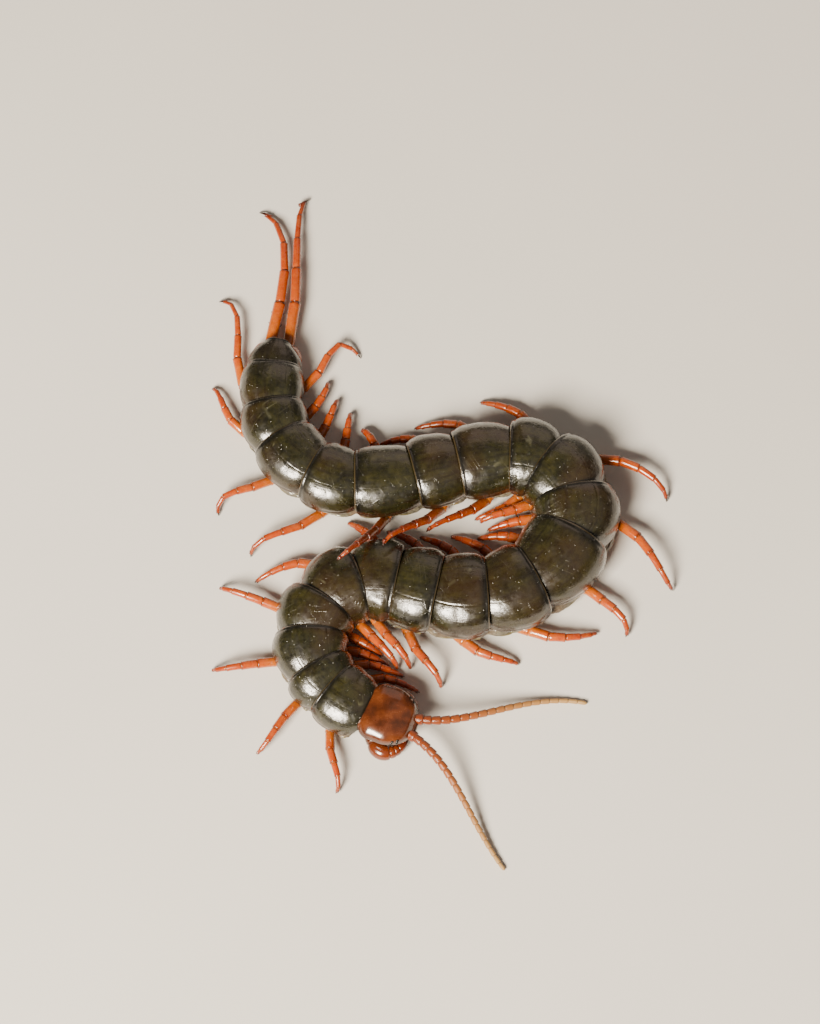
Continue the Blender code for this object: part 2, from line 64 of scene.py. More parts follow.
# Each segment from the neck back: length along the middle, width of its plate, and the
# degrees that its arc turns.
SEGMENTS = (
    (4.3, 7.7, -22), (2.9, 7.9, -18), (4.1, 8.2, -32), (3.8, 8.6, -33), (4.7, 9.0, -38),
    (4.2, 9.3, -33), (4.6, 9.6, 6), (5.5, 9.7, 18), (5.5, 9.6, 26), (6.9, 9.8, 34),
    (4.9, 9.9, 41), (4.9, 9.8, 41), (4.0, 9.2, 37), (5.9, 8.7, 8), (5.1, 8.5, 2),
    (6.6, 8.2, -16), (5.1, 8.0, -30), (5.3, 7.8, -31), (4.1, 7.6, -23), (4.9, 7.2, -13),
    (2.7, 5.8, -2),
)
LAST = len(SEGMENTS) - 1
SPIRACLE_SEGMENTS = (3, 5, 8, 10, 12, 14, 16, 18, 20)

# The section of the body: its height by its width, the plates' edge by the height, the
# squareness of the dome, and the usual way from its top to its edge.
HEIGHT_SHARE = 0.66
EDGE_SHARE = 0.42
EDGE_ABOVE = 0.35
DOME_POWER = 2.3
QUARTER_ARC = 6.3
TAIL_END_HALF = 1.85
TAIL_END_HEIGHT = 3.60

# Legs, as the solids have them: the joints by the share of the length, the radius of each
# article by the first one's, and how the root sits on the flank.
ARTICLE_STARTS = (0.0, 0.27, 0.49, 0.69, 0.85, 0.945, 1.0)
ARTICLE_RADII = (1.0, 0.88, 0.72, 0.54, 0.42, 0.26)
LEG_RADIUS = 0.64
GAP = 0.30
ROOT_HEIGHT = (0.18, 0.05)
ROOT_SHARE = 0.55
ROOT_INSET = 0.75
COXA_OUT = 0.25
COXA_OUT_SWEPT = 0.30
LEG_PITCH = math.radians(12)
USUAL_HEIGHT = 6.5
TIP_LEAD = 0.10
BOW_PULL = 1.6

# The radius at which every sharp point ends.
POINT_RADIUS = 0.012


class Side(Enum):
    """The animal's own sides."""

    LEFT = 1
    RIGHT = -1

    @property
    def word(self) -> str:
        """The side's name in a piece's name."""
        return self.name.lower()


class Slot(Enum):
    """The record's material slots."""

    BACK = "back_plates"
    LEGS = "legs"
    HEAD = "head_plates"
    FEELERS = "feelers"


@dataclass(frozen=True)
class Pose:
    """How one leg is held.

    The sweep turns the tip towards the head, in degrees, and the reach is measured on
    the floor. The bow moves the middle towards the head. The arch and the straight lead
    at the root are shares of the reach, and the rise moves the root up.
    """

    sweep: float
    reach: float
    bow: float = 0.0
    tip: float = 0.1
    arch: float = 0.42
    rise: float = 0.0
    lead: float = 0.36


WALKING_POSES = {
    Side.LEFT: (
        Pose(68, 5.6, arch=0.12), Pose(46, 5.6, arch=0.12, rise=0.2), Pose(28, 4.9, arch=0.12),
        Pose(6, 4.2, arch=0.15, rise=-0.15), Pose(-9, 6.2, arch=0.7, rise=0.1, lead=0.25),
        Pose(-40, 6.0, arch=0.9, rise=0.3, lead=0.2), Pose(-46, 6.9, -0.3, arch=0.7),
        Pose(-72, 6.4, arch=0.2), Pose(-72, 7.6, 0.6, arch=0.2),
        Pose(12, 6.5, -1.0), Pose(50, 9.6, 0.6), Pose(70, 9.2, -1.0, arch=0.3),
        Pose(-72, 6.6, arch=0.15), Pose(-74, 6.6, arch=0.15), Pose(-74, 4.8, arch=0.2),
        Pose(-25, 3.6, arch=0.6), Pose(-8, 5.2), Pose(-25, 5.4), Pose(-48, 5.0, 0.5),
        Pose(-35, 7.7, -3.6, arch=0.3),
    ),
    Side.RIGHT: (
        Pose(40, 6.6, 0.8), Pose(15, 7.0, 0.6), Pose(-5, 7.2, 0.6), Pose(0, 7.4, 0.4),
        Pose(72, 7.0, arch=0.2), Pose(50, 4.6, arch=0.2), Pose(68, 5.2, arch=0.15),
        Pose(57, 5.5, arch=0.15), Pose(38, 5.6, arch=0.15), Pose(34, 4.9, arch=0.2),
        Pose(12, 5.1, arch=0.15), Pose(-20, 5.6, arch=0.4, rise=0.5, tip=1.2),
        Pose(-55, 5.1, arch=0.15), Pose(-62, 8.4, tip=5.4, arch=0.3, lead=0.15),
        Pose(-60, 9.0, -0.5, tip=6.8, arch=0.35, lead=0.18),
        Pose(-43, 8.8, 0.6, tip=7.5, arch=0.5, lead=0.15),
        Pose(-41, 9.0, -1.0), Pose(-8, 6.8, -1.6), Pose(-72, 6.6, -0.6, arch=0.2),
        Pose(-73, 11.0, -2.5, arch=0.2, lead=0.2),
    ),
}


def smooth_through(xs: Sequence[float], ys: Sequence[float], at: Numbers) -> Array:
    """Reads a smooth curve through points.

    Args:
        xs: The points' places, rising.
        ys: Their values.
        at: The places to read.

    Returns:
        The curve's values, held level past both ends.
    """
    places = np.asarray(xs, float)
    values = np.asarray(ys, float)
    slopes = np.gradient(values, places)
    at = np.clip(np.asarray(at, float), places[0], places[-1])
    i = np.clip(np.searchsorted(places, at, side="right") - 1, 0, len(places) - 2)
    step = places[i + 1] - places[i]
    t = (at - places[i]) / step
    return (
        values[i] * (2 * t**3 - 3 * t**2 + 1)
        + slopes[i] * step * (t**3 - 2 * t**2 + t)
        + values[i + 1] * (3 * t**2 - 2 * t**3)
        + slopes[i + 1] * step * (t**3 - t**2)
    )


def through_columns(columns: Sequence[Array], places: Array) -> Array:
    """Reads a smooth curve in each row of a table.

    Args:
        columns: The control values, each with one value for every row.
        places: The places to read, from 0 to 1.

    Returns:
        The values, of shape rows, places.
    """
    spots = evenly(len(columns))
    weights = [smooth_through(spots, one, places) for one in np.eye(len(columns))]
    return np.einsum("ir,ic->rc", np.stack(columns), np.stack(weights))


def mirrored(half: Array, sign: int = 1) -> Array:
    """Closes one side's values to a ring, the first half of it with this sign."""
    return np.concatenate((sign * half, half[..., -2:0:-1]), axis=-1)


def unit(vectors: Array) -> Array:
    """The vectors at length 1."""
    return vectors / np.maximum(np.linalg.norm(vectors, axis=-1, keepdims=True), 1e-9)


def ease(value: Numbers, low: float, high: float) -> Numbers:
    """Rises smoothly from 0 at low to 1 at high."""
    t = np.clip((value - low) / (high - low), 0.0, 1.0)
    return t * t * (3 - 2 * t)


def ridge(value: Array, place: float, width: float) -> Array:
    """A soft rise to 1 at one place, down again about this width away."""
    return np.exp(-(((value - place) / width) ** 2))


def squared_off(wave: Array, power: float) -> Array:
    """A sine or cosine whose circle is squared off by a power under 1."""
    return np.sign(wave) * np.abs(wave) ** power


def rounded(share: Array, least: float) -> Array:
    """A round rim's thickness: least at a share of 0, and 1 from a share of 1 on."""
    return least + (1 - least) * np.sqrt(1 - (1 - np.clip(share, 0.0, 1.0)) ** 2)


def evenly(count: int) -> Array:
    """This many places, evenly from 0 to 1."""
    return np.linspace(0.0, 1.0, count)


def turn_round(count: int) -> Array:
    """This many angles, evenly once round."""
    return np.linspace(0, 2 * math.pi, count, endpoint=False)


def straight(start: Array, end: Array, shares: Array) -> Array:
    """Points at shares of the way from one point to another."""
    return start + (end - start) * shares[:, None]


def arch(share: Array, power: float, fold: float) -> tuple[Array, Array, Array]:
    """The outline of a domed plate across the body.

    Args:
        share: Places across, where 1 is the side edge and more is the fold below it.
        power: How square the dome is, where 2 is an ellipse.
        fold: How far past 1 the fold goes.

    Returns:
        Shares of the half width, shares of the rise, and shares of the fold.
    """
    angle = np.minimum(np.abs(share), 1.0) * math.pi / 2
    below = np.clip((np.abs(share) - 1.0) / fold, 0.0, 1.0)
    return np.sin(angle) ** (2 / power), np.maximum(np.cos(angle), 0.0) ** (2 / power), below


def unevenness(points: Array, size: float, seed: int) -> Array:
    """A soft random height over points in space, between about -1 and 1.

    Args:
        points: The points, in millimetres.
        size: The usual distance between two rises, in millimetres.
        seed: Picks the pattern.

    Returns:
        One value for each point.
    """
    draw = np.random.default_rng(seed)
    total = np.zeros(points.shape[:-1])
    for _ in range(7):
        way = unit(draw.normal(size=3)) * (2 * math.pi / size) * draw.uniform(0.6, 1.5)
        total += np.sin(points @ way + draw.uniform(0, 2 * math.pi))
    return total / 3.5


def surface_normals(grid: Array) -> Array:
    """The directions across a grid of points, of shape rows, columns, 3."""
    return unit(np.cross(np.gradient(grid, axis=0), np.gradient(grid, axis=1)))


def outward(normals: Array, points: Array, middle: Array) -> Array:
    """The normals of points, each turned to face away from a middle."""
    return normals * np.sign(np.sum(normals * (points - middle), axis=-1, keepdims=True))


class BodyPath:
    """The line under the middle of the body, measured back from the neck in millimetres."""

    def __init__(self) -> None:
        """Works out the borders between the segments, and the body's sizes along it."""
        self.lengths = np.array([length for length, _, _ in SEGMENTS])
        self.turns = np.radians([turn for _, _, turn in SEGMENTS])
        self.starts = np.concatenate(([0.0], np.cumsum(self.lengths)))
        self.total = float(self.starts[-1])
        borders = [(NECK_X, NECK_Y, NECK_HEADING)]
        for length, turn in zip(self.lengths, self.turns):
            x, y, start = borders[-1]
            radius = length / turn
            x -= radius * (math.sin(start + turn) - math.sin(start))
            y += radius * (math.cos(start + turn) - math.cos(start))
            borders.append((x, y, start + turn))
        self.borders = np.array(borders)
        middles = (self.starts[:-1] + self.starts[1:]) / 2
        self.spots = np.append(middles, self.total)
        halves = np.array([width / 2 for _, width, _ in SEGMENTS])
        self.halves = np.append(halves, TAIL_END_HALF)
        self.heights = np.append(halves * 2 * HEIGHT_SHARE, TAIL_END_HEIGHT)

    def half(self, distance: Numbers) -> Array:
        """Half of the back plates' width."""
        return smooth_through(self.spots, self.halves, distance)

    def height(self, distance: Numbers) -> Array:
        """The height of the back's middle."""
        return smooth_through(self.spots, self.heights, distance)

    def edge(self, distance: Numbers) -> Array:
        """The height of the back plates' side edges."""
        return EDGE_SHARE * self.height(distance) + EDGE_ABOVE

    def heading(self, distance: Numbers) -> tuple[Array, Array, Array]:
        """Where the path is.

        Args:
            distance: Distances back from the neck.

        Returns:
            The x, the y and the angle that points ahead.
        """
        distance = np.asarray(distance, float)
        inside = np.clip(distance, 0.0, self.total)
        i = np.clip(np.searchsorted(self.starts, inside, side="right") - 1, 0, LAST)
        share = (inside - self.starts[i]) / self.lengths[i]
        start = self.borders[i, 2]
        angle = start + self.turns[i] * share
        radius = self.lengths[i] / self.turns[i]
        beyond = distance - inside
        x = self.borders[i, 0] - radius * (np.sin(angle) - np.sin(start))
        y = self.borders[i, 1] + radius * (np.cos(angle) - np.cos(start))
        return x - beyond * np.cos(angle), y - beyond * np.sin(angle), angle

    def points(self, distance: Numbers, left: Numbers, up: Numbers) -> Array:
        """Points beside the path.

        Args:
            distance: Distances back from the neck.
            left: Distances to the animal's left.
            up: Heights above the floor.

        Returns:
            The points, with one more axis of length 3.
        """
        distance, left, up = np.broadcast_arrays(distance, left, up)
        x, y, angle = self.heading(distance)
        return np.stack((x - left * np.sin(angle), y + left * np.cos(angle), up), axis=-1)

    def axes(self, distance: float) -> tuple[Array, Array]:
        """The directions ahead and to the left.

        Args:
            distance: A distance back from the neck.

        Returns:
            Both directions, level and of length 1.
        """
        angle = float(self.heading(distance)[2])
        ahead = np.array((math.cos(angle), math.sin(angle), 0.0))
        return ahead, np.array((-math.sin(angle), math.cos(angle), 0.0))


PATH = BodyPath()


class Curve:
    """A cubic Bezier curve that is read by the share of its length."""

    STEPS = 96

    def __init__(self, points: Sequence[Array]) -> None:
        """Measures the curve.

        Args:
            points: Its four control points.
        """
        self.ends = np.array(points, float)
        self.spots = evenly(self.STEPS + 1)
        steps = np.linalg.norm(np.diff(self.raw(self.spots), axis=0), axis=1)
        gone = np.concatenate(([0.0], np.cumsum(steps)))
        self.shares = gone / gone[-1]

    def raw(self, spot: Numbers) -> Array:
        """Points by the curve's own parameter.

        Args:
            spot: Its values, from 0 to 1.

        Returns:
            The points.
        """
        t = np.asarray(spot, float)[..., None]
        a, b, c, d = self.ends
        return a * (1 - t) ** 3 + b * 3 * t * (1 - t) ** 2 + c * 3 * t**2 * (1 - t) + d * t**3

    def at(self, share: Numbers) -> Array:
        """Points at shares of the curve's length."""
        return self.raw(np.interp(share, self.shares, self.spots))


def hoops(line: Array, radii: Array, across: Array, upward: Array, sides: int) -> Array:
    """Rings round the points of a line, kept off the floor.

    Args:
        line: The points.
        radii: The radius at each point.
        across: The direction to one side, for all the points or for each.
        upward: The direction up, of the same kind.
        sides: Points in a ring.

    Returns:
        The rings, of shape points, sides, 3.
    """
    angle = turn_round(sides)[None, :, None]
    ring = across[..., None, :] * np.cos(angle) + upward[..., None, :] * np.sin(angle)
    rings = line[:, None] + ring * radii[:, None, None]
    rings[..., 2] = np.maximum(rings[..., 2], 0.0)
    return rings


def tube(points: Array, radii: Array, sides: int, flatten: float = 1.0) -> Array:
    """Rings square to a line.

    Args:
        points: The line's points.
        radii: The radius at each point.
        sides: Points in a ring.
        flatten: The ring's height as a share of its width.

    Returns:
        The rings, of shape points, sides, 3, kept off the floor.
    """
    ahead = unit(np.gradient(points, axis=0))
    across = unit(np.cross(ahead, UP))
    return hoops(points, radii, across, np.cross(across, ahead) * flatten, sides)


def show(made: bpy.types.Object) -> None:
    """Links a new object to the scene."""
    bpy.context.scene.collection.objects.link(made)


class Sculpt:
    """Gathers closed forms, in millimetres, for one mesh with one or more finishes."""

    def __init__(self) -> None:
        """Starts with no points and no faces."""
        self.points: list[Array] = []
        self.faces: list[list[int]] = []
        self.slots: list[int] = []
        self.marks: dict[str, list[Array]] = {"along": [], "across": [], "run": []}
        self.count = 0

    def keep(self, points: Array, along: Numbers, across: Numbers, run: Numbers) -> int:
        """Adds points with their marks.

        Args:
            points: The points, with one last axis of length 3.
            along: The first mark, for all the points or for each.
            across: The second mark, of the same kind.
            run: The third mark, of the same kind.

        Returns:
            The first point's number.
        """
        first = self.count
        shape = points.shape[:-1]
        self.points.append(points.reshape(-1, 3))
        for mark, values in (("along", along), ("across", across), ("run", run)):
            self.marks[mark].append(np.broadcast_to(values, shape).reshape(-1))
        self.count += int(np.prod(shape))
        return first

    def cover(self, faces: Sequence, slot: int) -> None:
        """Adds faces that use one finish."""
        self.faces.extend(faces)
        self.slots.extend([slot] * len(faces))

    def rings(
        self, rings: Array, along: Numbers, across: Numbers = 0.0, slot: int = 0, run: Numbers = 0.0
    ) -> "Sculpt":
        """Adds a closed form through rings, capped at both ends.

        Args:
            rings: The points, of shape rings, sides, 3.
            along: A mark for each ring, or one for each point.
            across: A second mark, of the same kind.
            slot: The finish's place in the piece's list.
            run: A third mark, the distance along the body in millimetres.

        Returns:
            The sculpt itself.
        """
        rows, columns, _ = rings.shape
        first = self.keep(rings, along, across, run)
        self.cover((grid_faces(rows, columns, True) + first).tolist(), slot)
        last = first + (rows - 1) * columns
        self.cover([list(range(start, start + columns)) for start in (first, last)], slot)
        return self

    def shell(
        self, outer: Array, inner: Array, along: Array, across: Array, run: Numbers = 0.0
    ) -> "Sculpt":
        """Adds a plate between an outer and an inner grid of points.

        Args:
            outer: The outer grid, of shape rows, columns, 3.
            inner: The inner grid, of the same shape.
            along: A mark for each row and column.
            across: A second mark, of the same kind.
            run: A third mark, the distance along the body in millimetres.

        Returns:
            The sculpt itself.
        """
        rows, columns, _ = outer.shape
        top = self.keep(outer, along, across, run)
        low = self.keep(inner, along, across, run)
        faces = grid_faces(rows, columns, False)
        border = border_loop(rows, columns)
        after = np.roll(border, -1)
        rim = np.stack((border + top, border + low, after + low, after + top), 1)
        for part in (faces + top, faces[:, ::-1] + low, rim):
            self.cover(part.tolist(), 0)
        return self

    def build(self, name: str) -> bpy.types.Object:
        """Makes the object, in metres, with its faces outward and shaded smooth.

        Args:
            name: The object's name.

        Returns:
            The new object.
        """
        mesh = bpy.data.meshes.new(name)
        mesh.from_pydata((np.concatenate(self.points) * MM).tolist(), [], self.faces)
        mesh.polygons.foreach_set("material_index", self.slots)
        for mark, values in self.marks.items():
            layer = mesh.attributes.new(mark, "FLOAT", "POINT")
            layer.data.foreach_set("value", np.concatenate(values).astype(np.float32))
        bm = bmesh.new()
        bm.from_mesh(mesh)
        bmesh.ops.recalc_face_normals(bm, faces=bm.faces)
        bm.to_mesh(mesh)
        bm.free()
        mesh.shade_smooth()
        made = bpy.data.objects.new(name, mesh)
        show(made)
        return made


def domed_shell(
    grid: Array, fine: Array, thick: Array, along: Array, across: Array, run: Array
) -> Sculpt:
    """A domed plate with relief on its outside.

    Args:
        grid: The outside's points, of shape rows, columns, 3.
        fine: The relief's height at each point.
        thick: The plate's thickness at each point.
        along: The first mark for each row.
        across: The second mark for each point or column.
        run: The third mark for each row.

    Returns:
        The closed shape.
    """
    normal = surface_normals(grid)
    rows, columns, _ = grid.shape
    normal = normal * np.sign(normal[rows // 2, columns // 2, 2])
    outer = grid + normal * fine[..., None]
    inner = outer - normal * thick[..., None]
    return Sculpt().shell(outer, inner, *np.broadcast_arrays(along, across, run))


def grid_faces(rows: int, columns: int, closed: bool) -> Array:
    """The four-sided faces of a grid whose points are numbered row by row.

    Args:
        rows: The grid's rows.
        columns: Its columns.
        closed: Whether the last column meets the first.

    Returns:
        Four point numbers for each face.
    """
    wide = columns if closed else columns - 1
    i, j = np.meshgrid(np.arange(rows - 1), np.arange(wide), indexing="ij")
    k = (j + 1) % columns
    corners = (i * columns + j, i * columns + k, (i + 1) * columns + k, (i + 1) * columns + j)
    return np.stack(corners, axis=-1).reshape(-1, 4)


def border_loop(rows: int, columns: int) -> Array:
    """The numbers of a grid's border points, once round."""
    n = np.arange(rows * columns).reshape(rows, columns)
    return np.concatenate((n[0, :-1], n[:-1, -1], n[-1, :0:-1], n[:0:-1, 0]))


def linear(code: str) -> tuple[float, float, float, float]:
    """Turns an sRGB hex colour to Blender's linear one."""
    parts = [int(code[i : i + 2], 16) / 255 for i in (1, 3, 5)]
    return (*[c / 12.92 if c <= 0.04045 else ((c + 0.055) / 1.055) ** 2.4 for c in parts], 1.0)


def per_metre(size: float) -> float:
    """The texture scale that gives a pattern this size, in millimetres."""
    return 1.0 / (size * MM)


def add_node(tree: bpy.types.NodeTree, kind: str, settings: dict, links: dict) -> bpy.types.Node:
    """Adds a shader node.

    Args:
        tree: The material's node tree.
        kind: The node's type, without "ShaderNode".
        settings: Its properties and its sockets' values by name or number; "stops" holds
            a ramp's places and colours.
        links: The output that feeds each named or numbered socket.

    Returns:
        The new node.
    """
    made = tree.nodes.new("ShaderNode" + kind)
    for name, value in settings.items():
        if name == "stops":
            ramp = made.color_ramp
            while len(ramp.elements) < len(value):
                ramp.elements.new(0.5)
            for stop, (place, colour) in zip(ramp.elements, value):
                stop.position = place
                stop.color = linear(colour) if isinstance(colour, str) else (colour,) * 3 + (1,)
        elif isinstance(name, str) and hasattr(made, name):
            setattr(made, name, value)
        else:
            made.inputs[name].default_value = value
    for name, output in links.items():
        tree.links.new(output, made.inputs[name])
    return made


class Finish:
    """The start of every finish: a material with its shader and the object's coordinates.

    Sizes are in millimetres. A stop is a place on a ramp and its colour or grey level.
    """

    title = "plain"

    def __init__(self) -> None:
        """Makes the material and dresses it."""
        self.material = bpy.data.materials.new(self.title)
        self.material.use_nodes = True
        self.tree = self.material.node_tree
        self.shader = self.tree.nodes["Principled BSDF"]
        self.coords = self.add("TexCoord").outputs["Object"]
        self.dress()

    def add(self, kind: str, settings: dict | None = None, **links: Socket) -> bpy.types.Node:
        """Adds a node whose links go to sockets named by keyword."""
        return add_node(self.tree, kind, settings or {}, links)

    def mark(self, name: str) -> Socket:
        """One of the marks that the mesh carries."""
        return self.add("Attribute", {"attribute_name": name}).outputs["Fac"]

    def sideways(self) -> Socket:
        """How far out to either side: 0 in the middle and 1 at the edges."""
        return self.sum(self.mark("across"), 0.0, "ABSOLUTE")

    def noise(self, size: float, detail: float = 3.0, rough: float = 0.55) -> Socket:
        """A cloudy pattern whose patches are about this size."""
        settings = {"Scale": per_metre(size), "Detail": detail, "Roughness": rough}
        return self.add("TexNoise", settings, Vector=self.coords).outputs["Fac"]

    def ramp(self, value: Socket, *stops: tuple) -> Socket:
        """Colours, or grey levels, along a value."""
        return self.add("ValToRGB", {"stops": stops}, Fac=value).outputs["Color"]

    def cloud(self, size: float, *stops: tuple, detail: float = 3.0, rough: float = 0.55) -> Socket:
        """Colours, or grey levels, in patches of about this size."""
        return self.ramp(self.noise(size, detail, rough), *stops)

    def blend(self, amount: Value, first: Value, second: Value) -> Socket:
        """Blends two colours.

        Args:
            amount: The second one's share, a number or a socket.
            first: The first colour, a socket or a hex code.
            second: The second colour, of the same kind.

        Returns:
            The blended colour.
        """
        settings: dict = {"data_type": "RGBA"}
        links = {}
        for number, value in ((0, amount), (6, first), (7, second)):
            if isinstance(value, Socket):
                links[number] = value
            else:
                settings[number] = linear(value) if isinstance(value, str) else value
        return add_node(self.tree, "Mix", settings, links).outputs[2]

    def sum(self, first: Socket, second: Value, how: str = "ADD") -> Socket:
        """Joins two values by one sum.

        Args:
            first: The first value.
            second: The second value, a number or a socket.
            how: The sum's kind.

        Returns:
            The result.
        """
        settings: dict = {"operation": how}
        links = {0: first}
        (links if isinstance(second, Socket) else settings)[1] = second
        return add_node(self.tree, "Math", settings, links).outputs[0]

    def over_plate(self, wide: float, long: float, turn: float = 0.0) -> Socket:
        """Coordinates that follow the body: one unit is wide across it and long along it.

        Args:
            wide: Millimetres across the body.
            long: Millimetres along the body.
            turn: Degrees by which the pattern is turned on the plate.

        Returns:
            The coordinates.
        """
        girth = self.sum(self.mark("across"), QUARTER_ARC, "MULTIPLY")
        flat = self.add("CombineXYZ", X=girth, Y=self.mark("run")).outputs["Vector"]
        settings = {"rotation_type": "Z_AXIS", "Angle": math.radians(turn)}
        turned = self.add("VectorRotate", settings, Vector=flat).outputs["Vector"]
        settings = {"operation": "MULTIPLY", 1: (1 / wide, 1 / long, 1.0)}
        return add_node(self.tree, "VectorMath", settings, {0: turned}).outputs["Vector"]

    def streaks(self, wide: float, long: float, turn: float = 0.0, detail: float = 3.0) -> Socket:
        """A pattern drawn out along the body.

        Args:
            wide: The usual distance between two streaks.
            long: Their usual length.
            turn: Degrees by which they turn from the body's line.
            detail: How many finer patterns are laid over it.

        Returns:
            The pattern.
        """
        settings = {"Scale": 1.0, "Detail": detail, "Roughness": 0.55}
        place = self.over_plate(wide, long, turn)
        return self.add("TexNoise", settings, Vector=place).outputs["Fac"]

    def scratches(self, wide: float, long: float, turn: float) -> Socket:
        """Fine, nearly straight scratches, 1 in the scratch and 0 beside it.

        Args:
            wide: The usual distance between two of them.
            long: Their usual length.
            turn: Their direction on the plate, in degrees from the body's line.

        Returns:
            The mask.
        """
        way = self.streaks(wide, long, turn, 0.0)
        lines = self.ramp(way, (0.489, 0.0), (0.50, 1.0), (0.511, 0.0))
        patches = self.cloud(1.9, (0.54, 0.0), (0.62, 1.0), detail=1.0)
        return self.sum(lines, patches, "MULTIPLY")

    def spots(self, spacing: float, radius: float) -> Socket:
        """Round spots at random places.

        Args:
            spacing: The usual distance between two of them.
            radius: Their radius.

        Returns:
            The mask, 0 in the middle of a spot and 1 outside it.
        """
        cells = self.add("TexVoronoi", {"Scale": per_metre(spacing)}, Vector=self.coords)
        share = radius / spacing
        return self.ramp(cells.outputs["Distance"], (share * 0.3, 0.0), (share, 1.0))

    def bump(
        self, height: Socket, depth: float, strength: float = 1.0, after: Socket | None = None
    ) -> Socket:
        """Fine relief in the finish.

        Args:
            height: Its heights, from 0 to 1.
            depth: Its full depth.
            strength: How much of it shows.
            after: An earlier relief that it lies on.

        Returns:
            The bent surface directions.
        """
        settings = {"Strength": strength, "Distance": depth * MM}
        links = {"Height": height} | ({"Normal": after} if after else {})
        return self.add("Bump", settings, **links).outputs["Normal"]

    def shade(self, **values: Socket | float | tuple) -> None:
        """Sets the shader's sockets, each to a constant or to another node's output."""
        for name, value in values.items():
            socket = self.shader.inputs[name.replace("_", " ")]
            if isinstance(value, Socket):
                self.tree.links.new(value, socket)
            else:
                socket.default_value = value

    def dress(self) -> None:
        """Builds the finish."""
        raise NotImplementedError


class BackPlateCuticle(Finish):
    """Tanned, waxed chitin of the back: near black olive with a deep gloss.

    The wax layer is a clear coat over rougher chitin, so a light gives a crisp core in a
    soft halo. Its fine pebbling breaks the halo up, and wear leaves straight scratches.
    The real pits and scratches are finer than the ones drawn here.
    """

    title = "tanned_back_cuticle"

    def dress(self) -> None:
        """Olive and brown clouds and streaks, scratches, pits, and painted seam shade and rim
        highlight.
        """
        across = self.sideways()
        along = self.mark("along")
        cloud = self.cloud(2.2, (0.30, "#080702"), (0.50, "#1b1b09"), (0.72, "#2f2c10"), detail=4.0)
        mottle = self.cloud(0.5, (0.36, "#060501"), (0.64, "#3b3718"), detail=5.0, rough=0.65)
        colour = self.blend(0.30, cloud, mottle)
        streak = self.ramp(self.streaks(0.45, 5.0), (0.46, 0.0), (0.66, 0.70))
        colour = self.blend(streak, colour, "#0f0b04")
        patch = self.cloud(8.0, (0.46, 0.0), (0.66, 0.50), detail=2.0)
        colour = self.blend(patch, colour, "#2e1b0a")
        from_neck = self.sum(self.mark("run"), 1 / PATH.total, "MULTIPLY")
        colour = self.blend(self.ramp(from_neck, (0.962, 0.0), (0.985, 0.7)), colour, "#130c07")
        # Painted shade: near black bands at each plate's front and rear, where the plates overlap at
        # the seams.
        ends = self.ramp(along, (0.0, 0.90), (0.18, 0.0), (0.83, 0.0), (0.95, 0.95))
        colour = self.blend(ends, colour, "#060502")
        colour = self.blend(self.ramp(across, (0.82, 0.0), (0.97, 0.70)), colour, "#2c1a0e")
        # Painted highlight: a paler line along each plate's rear rim.
        rim = self.ramp(along, (0.972, 0.0), (0.99, 0.60))
        marks = self.scratches(0.7, 14.0, 62.0)
        worn = self.sum(marks, 0.22, "MULTIPLY")
        colour = self.blend(worn, self.blend(rim, colour, "#4d4027"), "#7d7c62")
        rough = self.cloud(0.7, (0.32, 0.20), (0.68, 0.40), detail=5.0, rough=0.65)
        pebbles = self.bump(self.noise(0.50, 6.0, 0.60), 0.050, 0.65)
        lengthwise = self.bump(self.streaks(0.20, 4.0), 0.026, 0.6, pebbles)
        both = self.sum(marks, self.scratches(0.8, 12.0, -40.0))
        crossing = self.bump(both, 0.010, 0.6, lengthwise)
        pitted = self.bump(self.spots(0.55, 0.085), 0.05, 0.8, crossing)
        self.shade(Base_Color=colour, Roughness=rough, Normal=pitted, Coat_Normal=pitted, IOR=1.54)
        self.shade(Coat_Weight=0.85, Coat_Roughness=0.15, Coat_IOR=1.55)


class FlankMembrane(Finish):
    """The soft, folded skin between the plates: grey buff and damp looking.

    Its folds catch the light in short glints, and painted shade darkens it down in them.
    """

    title = "folded_flank_membrane"

    def dress(self) -> None:
        """Buff and grey in clouds, with painted shade in the creases and fine wrinkles that glint.
        """
        stops = ((0.30, "#3d392f"), (0.52, "#686253"), (0.75, "#918a76"))
        cloud = self.cloud(1.1, *stops, detail=5.0, rough=0.6)
        folds = self.noise(0.28, 4.0, 0.6)
        # Painted shade: darker where the fold pattern is low, down in the creases.
        crease_shaded = self.blend(self.ramp(folds, (0.33, 0.65), (0.58, 0.0)), cloud, "#2a271c")
        patch = self.cloud(3.5, (0.50, 0.0), (0.70, 0.5), detail=2.0)
        colour = self.blend(patch, crease_shaded, "#6b4024")
        relief = self.bump(folds, 0.06, 0.7)
        fine = self.bump(self.noise(0.10, 2.0), 0.015, 0.5, relief)
        self.shade(Base_Color=colour, Normal=fine, Roughness=0.34, IOR=1.45)
        self.shade(Coat_Weight=0.6, Coat_Roughness=0.18)


